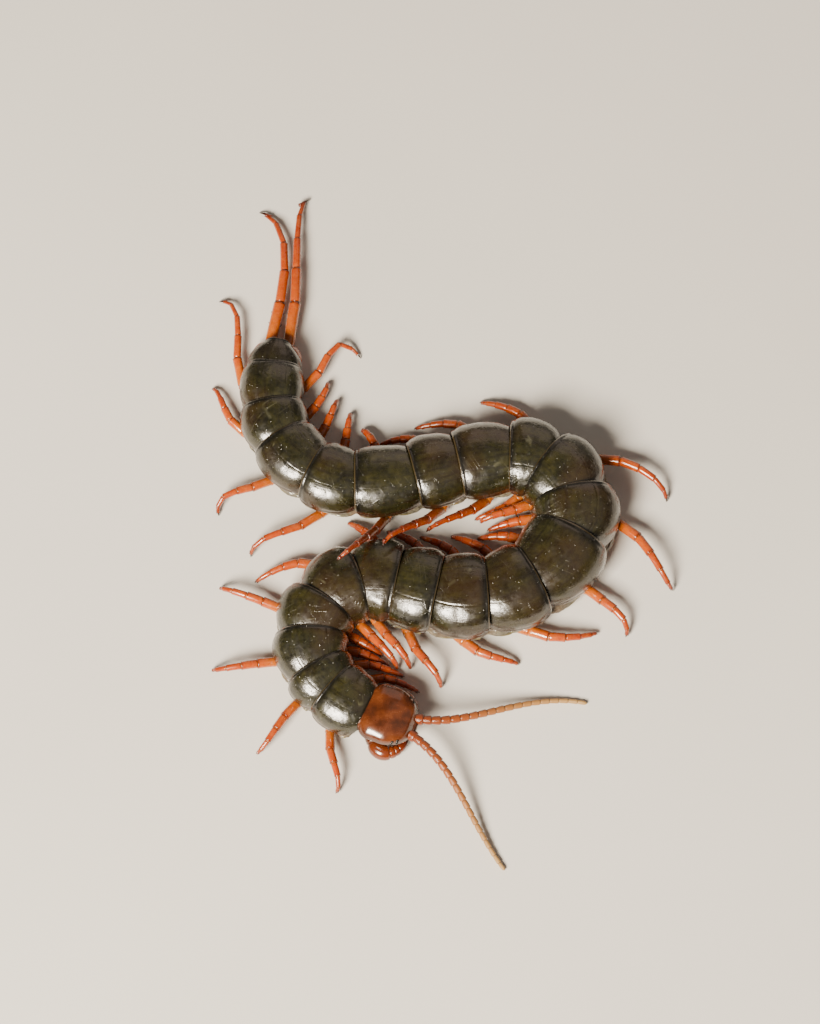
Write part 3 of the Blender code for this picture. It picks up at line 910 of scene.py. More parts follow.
class LegCuticle(Finish):
    """Thin amber chitin of the legs: light passes in and comes back orange.

    It scatters light a little way, so the edges glow, and its wax gives a narrow gloss.
    """

    title = "amber_leg_cuticle"

    def dress(self) -> None:
        """Amber at the root, redder outward, with a thin dark rim at each joint."""
        stops = ((0.0, "#ab5c0c"), (0.22, "#ab480a"), (0.6, "#a03607"), (0.86, "#822706"))
        run = self.ramp(self.mark("along"), *stops, (1.0, "#4a1206"))
        cloud = self.cloud(0.6, (0.30, "#802406"), (0.70, "#c2661a"), detail=4.0)
        mixed = self.blend(self.cloud(1.3, (0.3, 0.10), (0.7, 0.50)), run, cloud)
        joint = self.ramp(self.mark("across"), (0.55, 0.0), (0.92, 0.75))
        colour = self.blend(joint, mixed, "#561a06")
        rough = self.cloud(0.5, (0.3, 0.20), (0.7, 0.34))
        relief = self.bump(self.noise(0.16), 0.012, 0.5)
        self.shade(Base_Color=colour, Roughness=rough, Normal=relief, IOR=1.5)
        self.shade(Coat_Weight=0.6, Coat_Roughness=0.09, Subsurface_Weight=0.25)
        self.shade(Subsurface_Radius=(1.0, 0.40, 0.10), Subsurface_Scale=0.45 * MM)


class LegJointSkin(Finish):
    """The thin, stretchy skin inside a leg's joints: paler than the articles."""

    title = "leg_joint_skin"

    def dress(self) -> None:
        """Straw to orange, with fine rings."""
        cloud = self.cloud(0.3, (0.3, "#8f4c1a"), (0.7, "#ab6c38"))
        relief = self.bump(self.noise(0.08), 0.02, 0.6)
        self.shade(Base_Color=cloud, Normal=relief, Roughness=0.4, IOR=1.45)


class ClawCuticle(Finish):
    """Hard, tanned chitin of claws and fang tips: black brown and polished by wear."""

    title = "claw_cuticle"

    def dress(self) -> None:
        """Red brown at the root to black at the point."""
        run = self.ramp(self.mark("along"), (0.0, "#6a2410"), (0.45, "#2a0f08"), (1.0, "#0c0604"))
        colour = self.blend(self.cloud(0.2, (0.3, 0.0), (0.8, 0.4)), run, "#3a1a0c")
        relief = self.bump(self.noise(0.06), 0.004, 0.4)
        self.shade(Base_Color=colour, Normal=relief, Roughness=0.18, IOR=1.55)
        self.shade(Coat_Weight=0.6, Coat_Roughness=0.06)


class HeadCuticle(Finish):
    """Tanned chitin of the head: red brown to olive, glossy, with fine punctures."""

    title = "tanned_head_cuticle"

    def dress(self) -> None:
        """Chestnut in clouds, darker towards the rims, pitted."""
        cloud = self.cloud(1.6, (0.28, "#2b1408"), (0.50, "#4a210b"), (0.75, "#683412"), detail=4.0)
        side = self.ramp(self.sideways(), (0.70, 0.0), (1.0, 0.7))
        colour = self.blend(side, cloud, "#2a1208")
        rough = self.cloud(0.8, (0.3, 0.18), (0.7, 0.32))
        relief = self.bump(self.noise(0.35), 0.012, 0.5)
        pitted = self.bump(self.spots(0.45, 0.06), 0.015, 0.6, relief)
        self.shade(Base_Color=colour, Roughness=rough, Normal=pitted, IOR=1.54)
        self.shade(Coat_Weight=0.7, Coat_Roughness=0.1)


class FangCuticle(Finish):
    """Thick chitin of the fangs: orange brown that turns black at the point."""

    title = "fang_cuticle"

    def dress(self) -> None:
        """A run of colour along the fang, with faint clouds."""
        stops = ((0.0, "#5c280b"), (0.45, "#74300c"), (0.70, "#5e2008"), (0.86, "#240c05"))
        run = self.ramp(self.mark("along"), *stops, (1.0, "#0b0503"))
        colour = self.blend(self.cloud(0.8, (0.3, 0.0), (0.75, 0.45)), run, "#421a08")
        relief = self.bump(self.noise(0.22), 0.01, 0.5)
        self.shade(Base_Color=colour, Normal=relief, Roughness=0.22, IOR=1.55)
        self.shade(Coat_Weight=0.7, Coat_Roughness=0.08)


class FeelerCuticle(Finish):
    """The feelers' chitin: glossy brown at the root, then dulled by a down of fine hairs.

    The down is drawn as a grain, because single hairs are too fine to see.
    """

    title = "downy_feeler_cuticle"

    def dress(self) -> None:
        """Orange brown to tan, with dark joints and a grain."""
        stops = ((0.0, "#6c2c0b"), (0.25, "#833f11"), (0.6, "#90602a"), (1.0, "#a17f4a"))
        run = self.ramp(self.mark("along"), *stops)
        joint = self.ramp(self.mark("across"), (0.6, 0.0), (1.0, 0.6))
        colour = self.blend(joint, run, "#5f2f12")
        down = self.bump(self.noise(0.05, 2.0), 0.02, 0.8)
        rough = self.ramp(self.mark("along"), (0.15, 0.24), (0.45, 0.52))
        self.shade(Base_Color=colour, Roughness=rough, Normal=down, IOR=1.5, Sheen_Weight=0.15)


class EyeCornea(Finish):
    """The simple eyes: clear domes over black, which shine like drops of glass."""

    title = "ocellus_cornea"

    def dress(self) -> None:
        """Near black with a thin gloss."""
        cloud = self.cloud(0.15, (0.3, "#050403"), (0.7, "#120c08"))
        self.shade(Base_Color=cloud, Roughness=0.10, IOR=1.4, Coat_Weight=0.25, Coat_Roughness=0.04)


class BellyPlateCuticle(Finish):
    """Thinner chitin of the belly and side plates: olive buff, glossy where they slide."""

    title = "belly_plate_cuticle"

    def dress(self) -> None:
        """Olive buff in clouds with browner rims."""
        cloud = self.cloud(1.8, (0.3, "#4c4a2c"), (0.55, "#6a5f38"), (0.75, "#85703f"), detail=4.0)
        side = self.ramp(self.sideways(), (0.7, 0.0), (1.0, 0.6))
        colour = self.blend(side, cloud, "#4a2e14")
        relief = self.bump(self.noise(0.4), 0.012, 0.5)
        self.shade(Base_Color=colour, Normal=relief, Roughness=0.28, IOR=1.52)
        self.shade(Coat_Weight=0.5, Coat_Roughness=0.12)


class StudioBoard(Finish):
    """The matt painted board that the animal lies on: pale, so the animal stands out."""

    title = "matt_painted_board"

    def dress(self) -> None:
        """Warm white with a slight tooth."""
        cloud = self.cloud(60.0, (0.3, "#cfccc6"), (0.7, "#d4d1cb"))
        relief = self.bump(self.noise(0.8), 0.01, 0.3)
        self.shade(Base_Color=cloud, Normal=relief, Roughness=0.85)


class Kit:
    """One of each finish."""

    def __init__(self) -> None:
        """Makes the animal's finishes."""
        self.back = BackPlateCuticle()
        self.skin = FlankMembrane()
        self.leg = LegCuticle()
        self.leg_skin = LegJointSkin()
        self.claw = ClawCuticle()
        self.head = HeadCuticle()
        self.fang = FangCuticle()
        self.feeler = FeelerCuticle()
        self.eye = EyeCornea()
        self.belly = BellyPlateCuticle()


def add_piece(
    name: str, form: Sculpt, finishes: Sequence[Finish], nodes: Iterable[str] = ()
) -> None:
    """Makes a piece of the animal, rides it on the body and reports it.

    Args:
        name: The piece's name.
        form: Its shape.
        finishes: The finishes that its faces use, by their slot numbers.
        nodes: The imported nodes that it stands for.
    """
    made = form.build(name)
    for finish in finishes:
        made.data.materials.append(finish.material)
    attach(made, "root")
    for node in nodes:
        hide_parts(node)
    LOG.info("%s: %d faces", name, len(made.data.polygons))


@dataclass(frozen=True)
class BackPlates:
    """The 21 domed plates of the back, each lying over the front of the next.

    Lengths are in millimetres. A share is of the plate's length, of its half width or,
    across it, of the way from the middle line to the side edge. The rims and grooves are
    places with widths, and the waves are heights, sizes and seeds. The sutures begin and
    end between two places. A band is where more columns lie, and because the fold
    stretches the columns, those of a suture are pulled in.
    """

    rows: int = 46
    even_columns: int = 57
    band_columns: int = 7
    suture_band: float = 0.024
    suture_pull: float = 0.91
    rim_band: tuple = (0.88, 0.99)
    crowding: float = 0.105
    thickness: float = 0.17
    rim_thickness: float = 0.25
    edge_round: float = 0.10
    tuck: float = 0.45
    overhang: float = 0.32
    tail_overhang: float = 0.45
    step: float = 0.25
    front_dip: float = 0.16
    dip_share: float = 0.09
    pillow: float = 0.38
    front_share: float = 0.73
    rear_share: float = 0.90
    swell_share: float = 0.185
    swell_power: float = 2.7
    stiffness: float = 0.32
    corners: tuple = (1.5, 1.6)
    first_corners: tuple = (2.9, 1.6)
    last_corners: tuple = (0.9, 2.3)
    arc_share: float = 1.29
    fold: float = 0.10
    fold_depth: float = 0.40
    fold_inset: float = 0.14
    suture_share: float = 0.27
    suture_depth: float = 0.036
    suture_width: float = 0.013
    suture_ends: tuple = ((0.02, 0.14), (0.90, 0.99))
    clear_sutures: tuple = (7, 10)
    rim_depth: float = 0.05
    side_groove: tuple = (0.945, 0.022)
    side_rim: tuple = (1.0, 0.03)
    rear_groove: tuple = (0.935, 0.014)
    rear_rim: tuple = (0.972, 0.012)
    waves: tuple = ((0.034, 3.1, 40), (0.012, 1.1, 80))

    def columns(self) -> Array:
        """Spaces the points across a plate, closer at the sutures and the side rims.

        Returns:
            Their places, rising from -1 to 1.
        """
        even = np.linspace(-1.0, 1.0, self.even_columns)
        near = np.linspace(-self.suture_band, self.suture_band, self.band_columns)
        sutures = [side * self.suture_share * self.suture_pull + near for side in (-1, 1)]
        rims = [side * np.linspace(*self.rim_band, self.band_columns) for side in (-1, 1)]
        return np.unique(np.round(np.concatenate((even, *sutures, *rims)), 4))

    def corner_cut(self, from_end: Array, radius: float) -> Array:
        """How far a rounded corner takes the side in, by the distance from the end."""
        inside = np.clip(from_end, 0.0, radius)
        return radius - np.sqrt(radius**2 - (radius - inside) ** 2)

    def section(
        self, distance: Array, share: Array, lift: Array, narrow: Array
    ) -> tuple[Array, Array]:
        """The outside of the back.

        Args:
            distance: Distances back from the neck.
            share: Places across, where 1 is the side edge and more is the fold below it.
            lift: Heights to add.
            narrow: Shares of the full width.

        Returns:
            Distances to the left and heights.
        """
        edge = PATH.edge(distance)
        wide, high, below = arch(share, DOME_POWER, self.fold)
        out = PATH.half(distance) * narrow * wide - self.fold_inset * below**2
        up = edge + (PATH.height(distance) + lift - edge) * high - self.fold_depth * below
        return np.sign(share) * out, up

    def relief(self, points: Array, share: Array, s: Array, number: int) -> Array:
        """The plate's own relief: sutures, rims and a slight unevenness.

        Args:
            points: The plate's points.
            share: Their places across.
            s: Their places along.
            number: The segment, counted from 0.

        Returns:
            Heights in millimetres.
        """
        side = np.abs(share)
        start, end = self.suture_ends
        shown = self.suture_depth * ease(s, *start) * (1 - ease(s, *end))
        fine = np.zeros(points.shape[:-1])
        if number == LAST:
            fine -= shown * ridge(share, 0.0, self.suture_width)
        elif number > 0:
            faint = 0.22 + 0.09 * (number * 7 % 5)
            strength = 1.0 if number in self.clear_sutures else faint
            fine -= strength * shown * ridge(side, self.suture_share, self.suture_width)
        rims = 0.5 * ridge(side, *self.side_rim) - ridge(side, *self.side_groove) * ease(s, 0.1, 0.2)
        rear = 0.7 * ridge(s, *self.rear_rim) - 0.6 * ridge(s, *self.rear_groove)
        fine += self.rim_depth * (rims + rear * (side < 1))
        for height, size, seed in self.waves:
            fine += height * unevenness(points, size, seed + number)
        return fine

    def plate(self, number: int) -> Sculpt:
        """Shapes one plate.

        Args:
            number: The segment, counted from 0.

        Returns:
            The closed shape.
        """
        first = PATH.starts[number] - self.tuck
        last = PATH.starts[number + 1] + (self.tail_overhang if number == LAST else self.overhang)
        front, rear = {0: self.first_corners, LAST: self.last_corners}.get(number, self.corners)
        t = evenly(self.rows)
        s = (t - self.crowding * np.sin(2 * math.pi * t))[:, None]
        length = last - first
        distance = first + s * length
        cut = self.corner_cut(s * length, front) + self.corner_cut((1 - s) * length, rear)
        quarter = self.arc_share * PATH.half(distance)
        share = self.columns()[None, :] * (1.0 + self.fold - cut / quarter)
        swell = 1 - np.abs(2 * s - 1) ** self.swell_power
        dip = self.front_dip * (1 - ease(s, 0.0, self.dip_share))
        lift = self.step * (2 * s - 1) + self.pillow * swell - dip
        narrow = self.front_share + (self.rear_share - self.front_share) * s
        left, up = self.section(distance, share, lift, narrow + self.swell_share * swell)
        stiff = 1 - self.stiffness * PATH.turns[number] / PATH.lengths[number] * left
        middle = first + length / 2
        grid = PATH.points(middle + (distance - middle) * stiff, left, up)
        from_side = (1 - np.abs(self.columns()))[None, :] * quarter
        from_end = np.minimum(s, 1 - s) * length
        near_rim = np.minimum(from_side, from_end) / self.edge_round
        thick = self.thickness * rounded(near_rim, self.rim_thickness)
        fine = self.relief(grid, share, s, number)
        return domed_shell(grid, fine, thick, s, share, distance)

    def build(self, finish: Finish) -> None:
        """Makes every plate."""
        for number in range(LAST + 1):
            add_piece(f"back_plate_{number + 1:02d}", self.plate(number), [finish])


@dataclass(frozen=True)
class FlankSkin:
    """The soft skin of the whole trunk, which shows between the plates and at the sides.

    The front and the rear are distances past the neck and the last plate's border, and
    the crease is the depth at each border between segments. The wrinkles run along the
    body, with so many radians of them down one side. The waves, and the wander of the
    wrinkles, are heights, sizes and seeds. The folds begin and end between two places.
    """

    ring_step: float = 0.15
    half_points: int = 46
    front: float = -0.9
    rear_past: float = 0.40
    neck_share: float = 0.56
    neck_end: float = 1.1
    tail_loss: float = 0.45
    tail_start: float = 0.5
    middle_share: float = 0.52
    crease: float = 0.40
    crease_width: float = 0.50
    wrinkle: float = 0.055
    wrinkle_radians: float = 88.0
    wander: tuple = (1.5, 4.0, 3)
    waves: tuple = ((0.05, 0.8, 5), (0.03, 0.38, 6))
    fold_ends: tuple = ((0.27, 0.38), (0.74, 0.86))
    floor_gap: float = 0.04

    def outline(self, distance: Array) -> tuple[list[Array], list[Array]]:
        """Control points down one side: their distances out and their heights.

        Args:
            distance: Distances back from the neck.

        Returns:
            The distances out and the heights, each one for every distance.
        """
        half = PATH.half(distance)
        height = PATH.height(distance)
        edge = PATH.edge(distance)
        rise = height - edge
        none = 0 * half
        outs = [
            none, (half - 0.8) * 0.45, (half - 0.8) * 0.80, half - 1.00, half - 0.98,
            half - 0.58, half - 0.40, half - 0.44, half - 0.78, half * 0.72, half * 0.60,
            half * 0.50, none,
        ]
        ups = [
            height - 0.62, edge + rise * 0.78, edge + rise * 0.42, edge + 0.02, edge - 0.36,
            edge * 0.78, edge * 0.63, edge * 0.48, edge * 0.33, none + 0.52, none + 0.22,
            none + 0.07, none + 0.06,
        ]
        return outs, ups

    def squeeze(self, distance: Array) -> Array:
        """Narrows the skin at the neck and at the tail's end.

        Args:
            distance: Distances back from the neck.

        Returns:
            The share of the girth that is left.
        """
        neck = self.neck_share + (1 - self.neck_share) * ease(distance, self.front, self.neck_end)
        end = PATH.total + self.rear_past
        return neck * (1.0 - self.tail_loss * ease(distance, PATH.total - self.tail_start, end) ** 2)

    def half_section(self, distance: Array, place: Array) -> tuple[Array, Array]:
        """One side's outline at places from 0, the back's middle, to 1, the belly's.

        Args:
            distance: Distances back from the neck, one for each row.
            place: Places down the side, one for each column.

        Returns:
            Distances out and heights, of shape rows, columns.
        """
        outs, ups = self.outline(distance)
        scale = self.squeeze(distance)[:, None]
        middle = (PATH.height(distance) * self.middle_share)[:, None]
        up = through_columns(ups, place)
        return through_columns(outs, place) * scale, middle + (up - middle) * scale

    def middle(self, distance: Array) -> Array:
        """The middle of each section."""
        return PATH.points(distance, 0.0, PATH.height(distance) * self.middle_share)[:, None]

    def build(self, finish: Finish) -> None:
        """Makes the skin in place of the trunk's nodes.

        Args:
            finish: The skin's finish.
        """
        end = PATH.total + self.rear_past
        distance = np.linspace(self.front, end, int((end - self.front) / self.ring_step))
        place = evenly(self.half_points)
        out, up = self.half_section(distance, place)
        places = mirrored(place)[None, :]
        rings = PATH.points(distance[:, None], mirrored(out, -1), mirrored(up))
        normal = surface_normals(np.concatenate((rings[:, -1:], rings, rings[:, :1]), axis=1))
        normal = outward(normal[:, 1:-1], rings, self.middle(distance))
        top, low = self.fold_ends
        flank = ease(places, *top) * (1 - ease(places, *low))
        to_border = np.min(np.abs(distance[:, None] - PATH.starts[None, :]), axis=1)[:, None]
        folds = -self.crease * ridge(to_border, 0.0, self.crease_width)
        amount, size, seed = self.wander
        wander = amount * unevenness(rings, size, seed)
        folds = folds + self.wrinkle * np.sin(places * self.wrinkle_radians + wander)
        for height, size, seed in self.waves:
            folds = folds + height * unevenness(rings, size, seed)
        rings = rings + normal * (folds * flank)[..., None]
        rings[..., 2] = np.maximum(rings[..., 2], self.floor_gap)
        run = distance[:, None]
        form = Sculpt().rings(rings, run / PATH.total, places, run=run)
        trunk = [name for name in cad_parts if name.startswith("trunk")]
        add_piece("flank_skin", form, [finish], trunk)


SKIN = FlankSkin()


class SkinMap:
    """The skin's places and directions on one side, for the pieces that lie on it."""

    FIRST = -0.5
    ROW_STEP = 0.1
    COLUMNS = 121

    def __init__(self, side: Side) -> None:
        """Reads the skin of one side.

        Args:
            side: The side.
        """
        distance = np.arange(self.FIRST, PATH.total - self.FIRST, self.ROW_STEP)
        out, up = SKIN.half_section(distance, evenly(self.COLUMNS))
        self.points = PATH.points(distance[:, None], side.value * out, up)
        normal = surface_normals(self.points)
        self.normals = outward(normal, self.points, SKIN.middle(distance))

    def at(self, distance: Numbers, place: Numbers, height: Numbers) -> Array:
        """Points at heights above the skin.

        Args:
            distance: Distances back from the neck.
            place: Places down the side, from 0 to 1.
            height: Heights above the skin.

        Returns:
            The points.
        """
        distance, place, height = np.broadcast_arrays(distance, place, height)
        row = np.clip((distance - self.FIRST) / self.ROW_STEP, 0, len(self.points) - 1.001)
        column = np.clip(place, 0, 1) * (self.COLUMNS - 1.001)
        i, j = row.astype(int), column.astype(int)
        u, v = (row - i)[..., None], (column - j)[..., None]
        both = []
        for grid in (self.points, self.normals):
            near = grid[i, j] * (1 - v) + grid[i, j + 1] * v
            far = grid[i + 1, j] * (1 - v) + grid[i + 1, j + 1] * v
            both.append(near * (1 - u) + far * u)
        return both[0] + unit(both[1]) * height[..., None]


@dataclass(frozen=True)
class SidePlates:
    """The small plates and the breathing holes on each flank.

    A patch has a share of the segment and a place down the side for its middle, then its
    half length and its half width, as a place. The plates' half lengths are shares of the
    segment, and the holes' is in millimetres. A profile has heights above the skin, by
    the share of the way from the middle out.
    """

    rings_out: int = 9
    around: int = 36
    squareness: float = 0.72
    underside: float = -0.10
    patches: tuple = (
        (0.52, 0.49, 0.20, 0.042), (0.27, 0.585, 0.09, 0.055), (0.80, 0.59, 0.08, 0.05),
    )
    hole: tuple = (0.78, 0.455, 0.42, 0.028)
    dome: tuple = ((0.0, 0.10), (0.6, 0.09), (0.9, 0.04), (1.0, -0.05))
    crater: tuple = ((0.0, -0.04), (0.45, -0.04), (0.70, 0.12), (0.88, 0.08), (1.0, -0.05))

    def patch(
        self, form: Sculpt, skin: SkinMap, centre: Pair, radii: Pair, profile: tuple
    ) -> None:
        """Adds an oval plate that lies on the skin.

        Args:
            form: The shape to add to.
            skin: The skin of that side.
            centre: Its distance back from the neck and its place down the side.
            radii: Its half length along the body and its half width, as a place.
            profile: Its heights.
        """
        angle = turn_round(self.around)[None, :]
        along = squared_off(np.cos(angle), self.squareness) * radii[0]
        down = squared_off(np.sin(angle), self.squareness) * radii[1]
        out = np.linspace(0.04, 1.0, self.rings_out)
        shares = np.concatenate((out, out[::-1]))[:, None]
        top = np.interp(out, *zip(*profile))
        heights = np.concatenate((top, np.full(self.rings_out, self.underside)))[:, None]
        rings = skin.at(centre[0] + along * shares, centre[1] + down * shares, heights)
        form.rings(rings, shares, 0.5)

    def build(self, plate: Finish, hole: Finish) -> None:
        """Makes the plates and the breathing holes of both sides.

        Args:
            plate: The plates' finish.
            hole: The finish of the holes' rims.
        """
        for side in Side:
            plates = Sculpt()
            holes = Sculpt()
            skin = SkinMap(side)
            for number in range(LAST):
                start, length = PATH.starts[number], PATH.lengths[number]
                for share, place, long, wide in self.patches:
                    centre = (start + share * length, place)
                    self.patch(plates, skin, centre, (long * length, wide), self.dome)
                if number + 1 in SPIRACLE_SEGMENTS:
                    share, place, long, wide = self.hole
                    centre = (start + share * length, place)
                    self.patch(holes, skin, centre, (long, wide), self.crater)
            add_piece(f"side_plates_{side.word}", plates, [plate])
            add_piece(f"breathing_holes_{side.word}", holes, [hole])


@dataclass(frozen=True)
class BellyPlates:
    """The flat plates of the belly, which the animal rests on.

    Insets, rises, depths and the thickness are in millimetres. The tapers and the corners
    are shares of the half width, and the groove has its place across and its width.
    """

    share: float = 0.56
    inset: float = 0.16
    first_inset: float = 0.80
    thickness: float = 0.14
    taper: float = 0.06
    last_taper: float = 0.30
    corner_start: float = 0.6
    corner_cut: float = 0.14
    rows: int = 20
    columns: int = 37
    side_rise: float = 0.22
    end_rise: float = 0.10
    groove: tuple = (0.42, 0.035)
    groove_depth: float = 0.03

    def plate(self, number: int) -> Sculpt:
        """Shapes one plate.

        Args:
            number: The segment, counted from 0.

        Returns:
            The closed shape.
        """
        first = PATH.starts[number] + (self.first_inset if number == 0 else self.inset)
        last = PATH.starts[number + 1] - self.inset
        s = evenly(self.rows)[:, None]
        across = np.linspace(-1.0, 1.0, self.columns)[None, :]
        side, end = np.abs(across), np.abs(2 * s - 1)
        distance = first + s * (last - first)
        taper = 1.0 - (self.last_taper if number == LAST else self.taper) * s
        past = np.maximum(0, end - self.corner_start) / (1 - self.corner_start)
        corner = 1 - self.corner_cut * past**2
        half = PATH.half(distance) * self.share * taper * corner * SKIN.squeeze(distance)
        rim = np.maximum(side**6, end**12)
        low = self.side_rise * side**5 + self.end_rise * end**10
        groove = self.groove_depth * ridge(side, *self.groove)
        outer = PATH.points(distance, across * half, low + groove * (1 - rim))
        inner = outer + UP * (self.thickness * (1 - 0.7 * rim))[..., None]
        return Sculpt().shell(outer, inner, *np.broadcast_arrays(s, across))

    def build(self, finish: Finish) -> None:
        """Makes every plate."""
        for number in range(LAST + 1):
            add_piece(f"belly_plate_{number + 1:02d}", self.plate(number), [finish])


@dataclass(frozen=True)
class Article:
    """The outline of one article of a leg, as shares of its length and of its radius."""

    profile: tuple = (
        (-0.03, 0.56), (-0.01, 0.74), (0.015, 0.86), (0.05, 0.93), (0.12, 0.955), (0.28, 0.95),
        (0.50, 0.96), (0.70, 0.98), (0.84, 1.00), (0.92, 1.02), (0.955, 1.035), (0.98, 1.02),
        (0.995, 0.95), (1.005, 0.84), (0.985, 0.66),
    )
    sides: int = 20

    def add(
        self, form: Sculpt, start: Array, end: Array, radii: Pair, marks: Pair, bend: float = 0.03
    ) -> None:
        """Adds the article between two joints.

        Args:
            form: The shape to add to.
            start: The joint nearer to the body.
            end: The joint farther out.
            radii: The radius near the first joint and near the second.
            marks: The marks along the limb at both joints.
            bend: How far the middle bows upward, as a share of the length.
        """
        t, wide = np.array(self.profile).T
        lift = bend * float(np.linalg.norm(end - start)) * np.sin(math.pi * np.clip(t, 0, 1))
        line = straight(start, end, t) + UP * lift[:, None]
        radius = wide * (radii[0] + (radii[1] - radii[0]) * t)
        ahead = unit(end - start)
        across = unit(np.cross(ahead, UP))
        rings = hoops(line, radius, across, np.cross(across, ahead), self.sides)
        near = np.maximum(ease(t, 0.86, 0.98), 1 - ease(t, 0.0, 0.07))
        along = marks[0] + (marks[1] - marks[0]) * t
        form.rings(rings, along[:, None], near[:, None])


ARTICLE = Article()


def add_spur(form: Sculpt, root: Array, point: Array, radius: float) -> None:
    """Adds a small pointed spur.

    Args:
        form: The shape to add to.
        root: The middle of its root.
        point: Its point.
        radius: Its radius at the root.
    """
    t = evenly(6)
    radii = radius * (1 - t) ** 0.7 + POINT_RADIUS
    form.rings(tube(straight(root, point, t), radii, 8), (0.3 + 0.7 * t)[:, None])


class Limb:
    """A jointed leg whose joints lie on a curve.

    The sizes are shares of the leg's radius, or of the length of its last article.
    """

    COLLAR = (1.30, 1.02)
    SKIN = 0.78
    CLAW = 0.30
    CLAW_LENGTH = 1.35
    CLAW_BOW = 0.16
    CLAW_SPUR = 0.10
    JOINT_SPUR = 0.13

    def __init__(self, curve: Curve, radius: float, root: Array) -> None:
        """Sets the joints on their curve.

        Args:
            curve: The line of the joints.
            radius: The radius of the first article.
            root: Where the collar starts, inside the flank.
        """
        self.radius = radius
        self.root = root
        self.joints = curve.at(np.array(ARTICLE_STARTS))

    def skin(self, form: Sculpt) -> None:
        """Adds the soft skin inside each joint.

        Args:
            form: The shape to add to.
        """
        for number in range(1, 6):
            way = unit(self.joints[number + 1] - self.joints[number - 1])
            radius = self.radius * ARTICLE_RADII[number] * self.SKIN
            t = np.linspace(-1, 1, 9)
            line = self.joints[number] + way * t[:, None] * radius * 0.8
            form.rings(tube(line, radius * np.sqrt(1.02 - t**2), 16), 0.5, 0.0, 1)

    def articles(self, form: Sculpt) -> None:
        """Adds the five articles and the collar at the root.

        Args:
            form: The shape to add to.
        """
        way = unit(self.joints[0] - self.root)
        t = evenly(9)
        line = straight(self.root, self.joints[0], t * 1.12)
        wide, narrow = self.COLLAR
        collar = (wide - (wide - narrow) * ease(t, 0.0, 0.8)) * (1 - 0.35 * ease(t, 0.86, 1.0))
        form.rings(tube(line, self.radius * collar, 22), 0.0, ease(t, 0.7, 1.0)[:, None])
        for number in range(5):
            start = self.joints[number] - (way * 0.10 if number == 0 else 0.0)
            here, after = (self.radius * share for share in ARTICLE_RADII[number : number + 2])
            marks = ARTICLE_STARTS[number : number + 2]
            ARTICLE.add(form, start, self.joints[number + 1], (here, (here + after) / 2), marks)

    def claw(self, form: Sculpt) -> None:
        """Adds the claw with its two small spurs, and the spur of the last joint but one.

        Args:
            form: The shape to add to.
        """
        tip = self.joints[6]
        start = tip + (self.joints[5] - tip) * self.CLAW_LENGTH
        way = tip - start
        across = unit(np.cross(way, UP))
        t = np.linspace(-0.25, 1.0, 14)
        mark = np.clip(t, 0, 1)
        bow = UP * (self.CLAW_BOW * np.linalg.norm(way) * np.sin(math.pi * mark))[:, None]
        slim = np.sqrt(np.clip(1.0 - t, 0.0, 1.0)) * (0.75 + 0.25 * (1 - t))
        line = straight(start, tip, t) + bow
        radii = self.radius * self.CLAW * slim + POINT_RADIUS
        form.rings(tube(line, radii, 12), mark[:, None])
        for turn in (-1, 1):
            root = start + across * turn * self.radius * 0.20
            point = root + way * 0.42 + across * turn * 0.10
            add_spur(form, root - way * 0.1, point, self.radius * self.CLAW_SPUR)
        base = self.joints[4] - UP * self.radius * 0.34
        out = unit(self.joints[5] - self.joints[4])
        point = base + out * 0.38 - UP * 0.05
        add_spur(form, base - out * 0.12, point, self.radius * self.JOINT_SPUR)


class WalkingLegs:
    """The 20 pairs of walking legs."""

    ROOT_DEPTH = 0.45

    def limb(self, number: int, side: Side) -> Limb:
        """Places one leg.

        Args:
            number: Its segment, counted from 0.
            side: Its side.

        Returns:
            The leg.
        """
        pose = WALKING_POSES[side][number]
        length, width, _ = SEGMENTS[number]
        height = width * HEIGHT_SHARE
        distance = PATH.starts[number] + ROOT_SHARE * length
        ahead, left = PATH.axes(distance)
        out = left * side.value
        sweep = math.radians(pose.sweep)
        way = out * math.cos(sweep) + ahead * math.sin(sweep)
        across = ahead * math.cos(sweep) - out * math.sin(sweep)
        axis = unit(out + way) * math.cos(LEG_PITCH) + UP * math.sin(LEG_PITCH)
        radius = LEG_RADIUS * math.sqrt(height / USUAL_HEIGHT)
        root_height = ROOT_HEIGHT[0] * height + ROOT_HEIGHT[1] + pose.rise
        base = PATH.points(distance, side.value * (width / 2 - ROOT_INSET), root_height)
        start = base + axis * (COXA_OUT + COXA_OUT_SWEPT * abs(math.sin(sweep)) + GAP)
        end = start + way * pose.reach
        end[2] = pose.tip
        second = start + axis * (pose.lead * pose.reach)
        third = end - way * (TIP_LEAD * pose.reach) + across * (BOW_PULL * pose.bow)
        third[2] = pose.tip + pose.arch * pose.reach
        return Limb(Curve((start, second, third, end)), radius, base - axis * self.ROOT_DEPTH)

    def build(self, finishes: Sequence[Finish], claw: Finish) -> None:
        """Makes every leg, and each side's claws.

        Args:
            finishes: The legs' finishes, for the articles and for the joints.
            claw: The claws' finish.
        """
        for side in Side:
            claws = Sculpt()
            for number in range(LAST):
                limb = self.limb(number, side)
                form = Sculpt()
                limb.articles(form)
                limb.skin(form)
                limb.claw(claws)
                node = f"leg_{side.word}_{number + 1:02d}"
                add_piece(f"walking_{node}", form, finishes, [node])
            add_piece(f"walking_claws_{side.word}", claws, [claw])


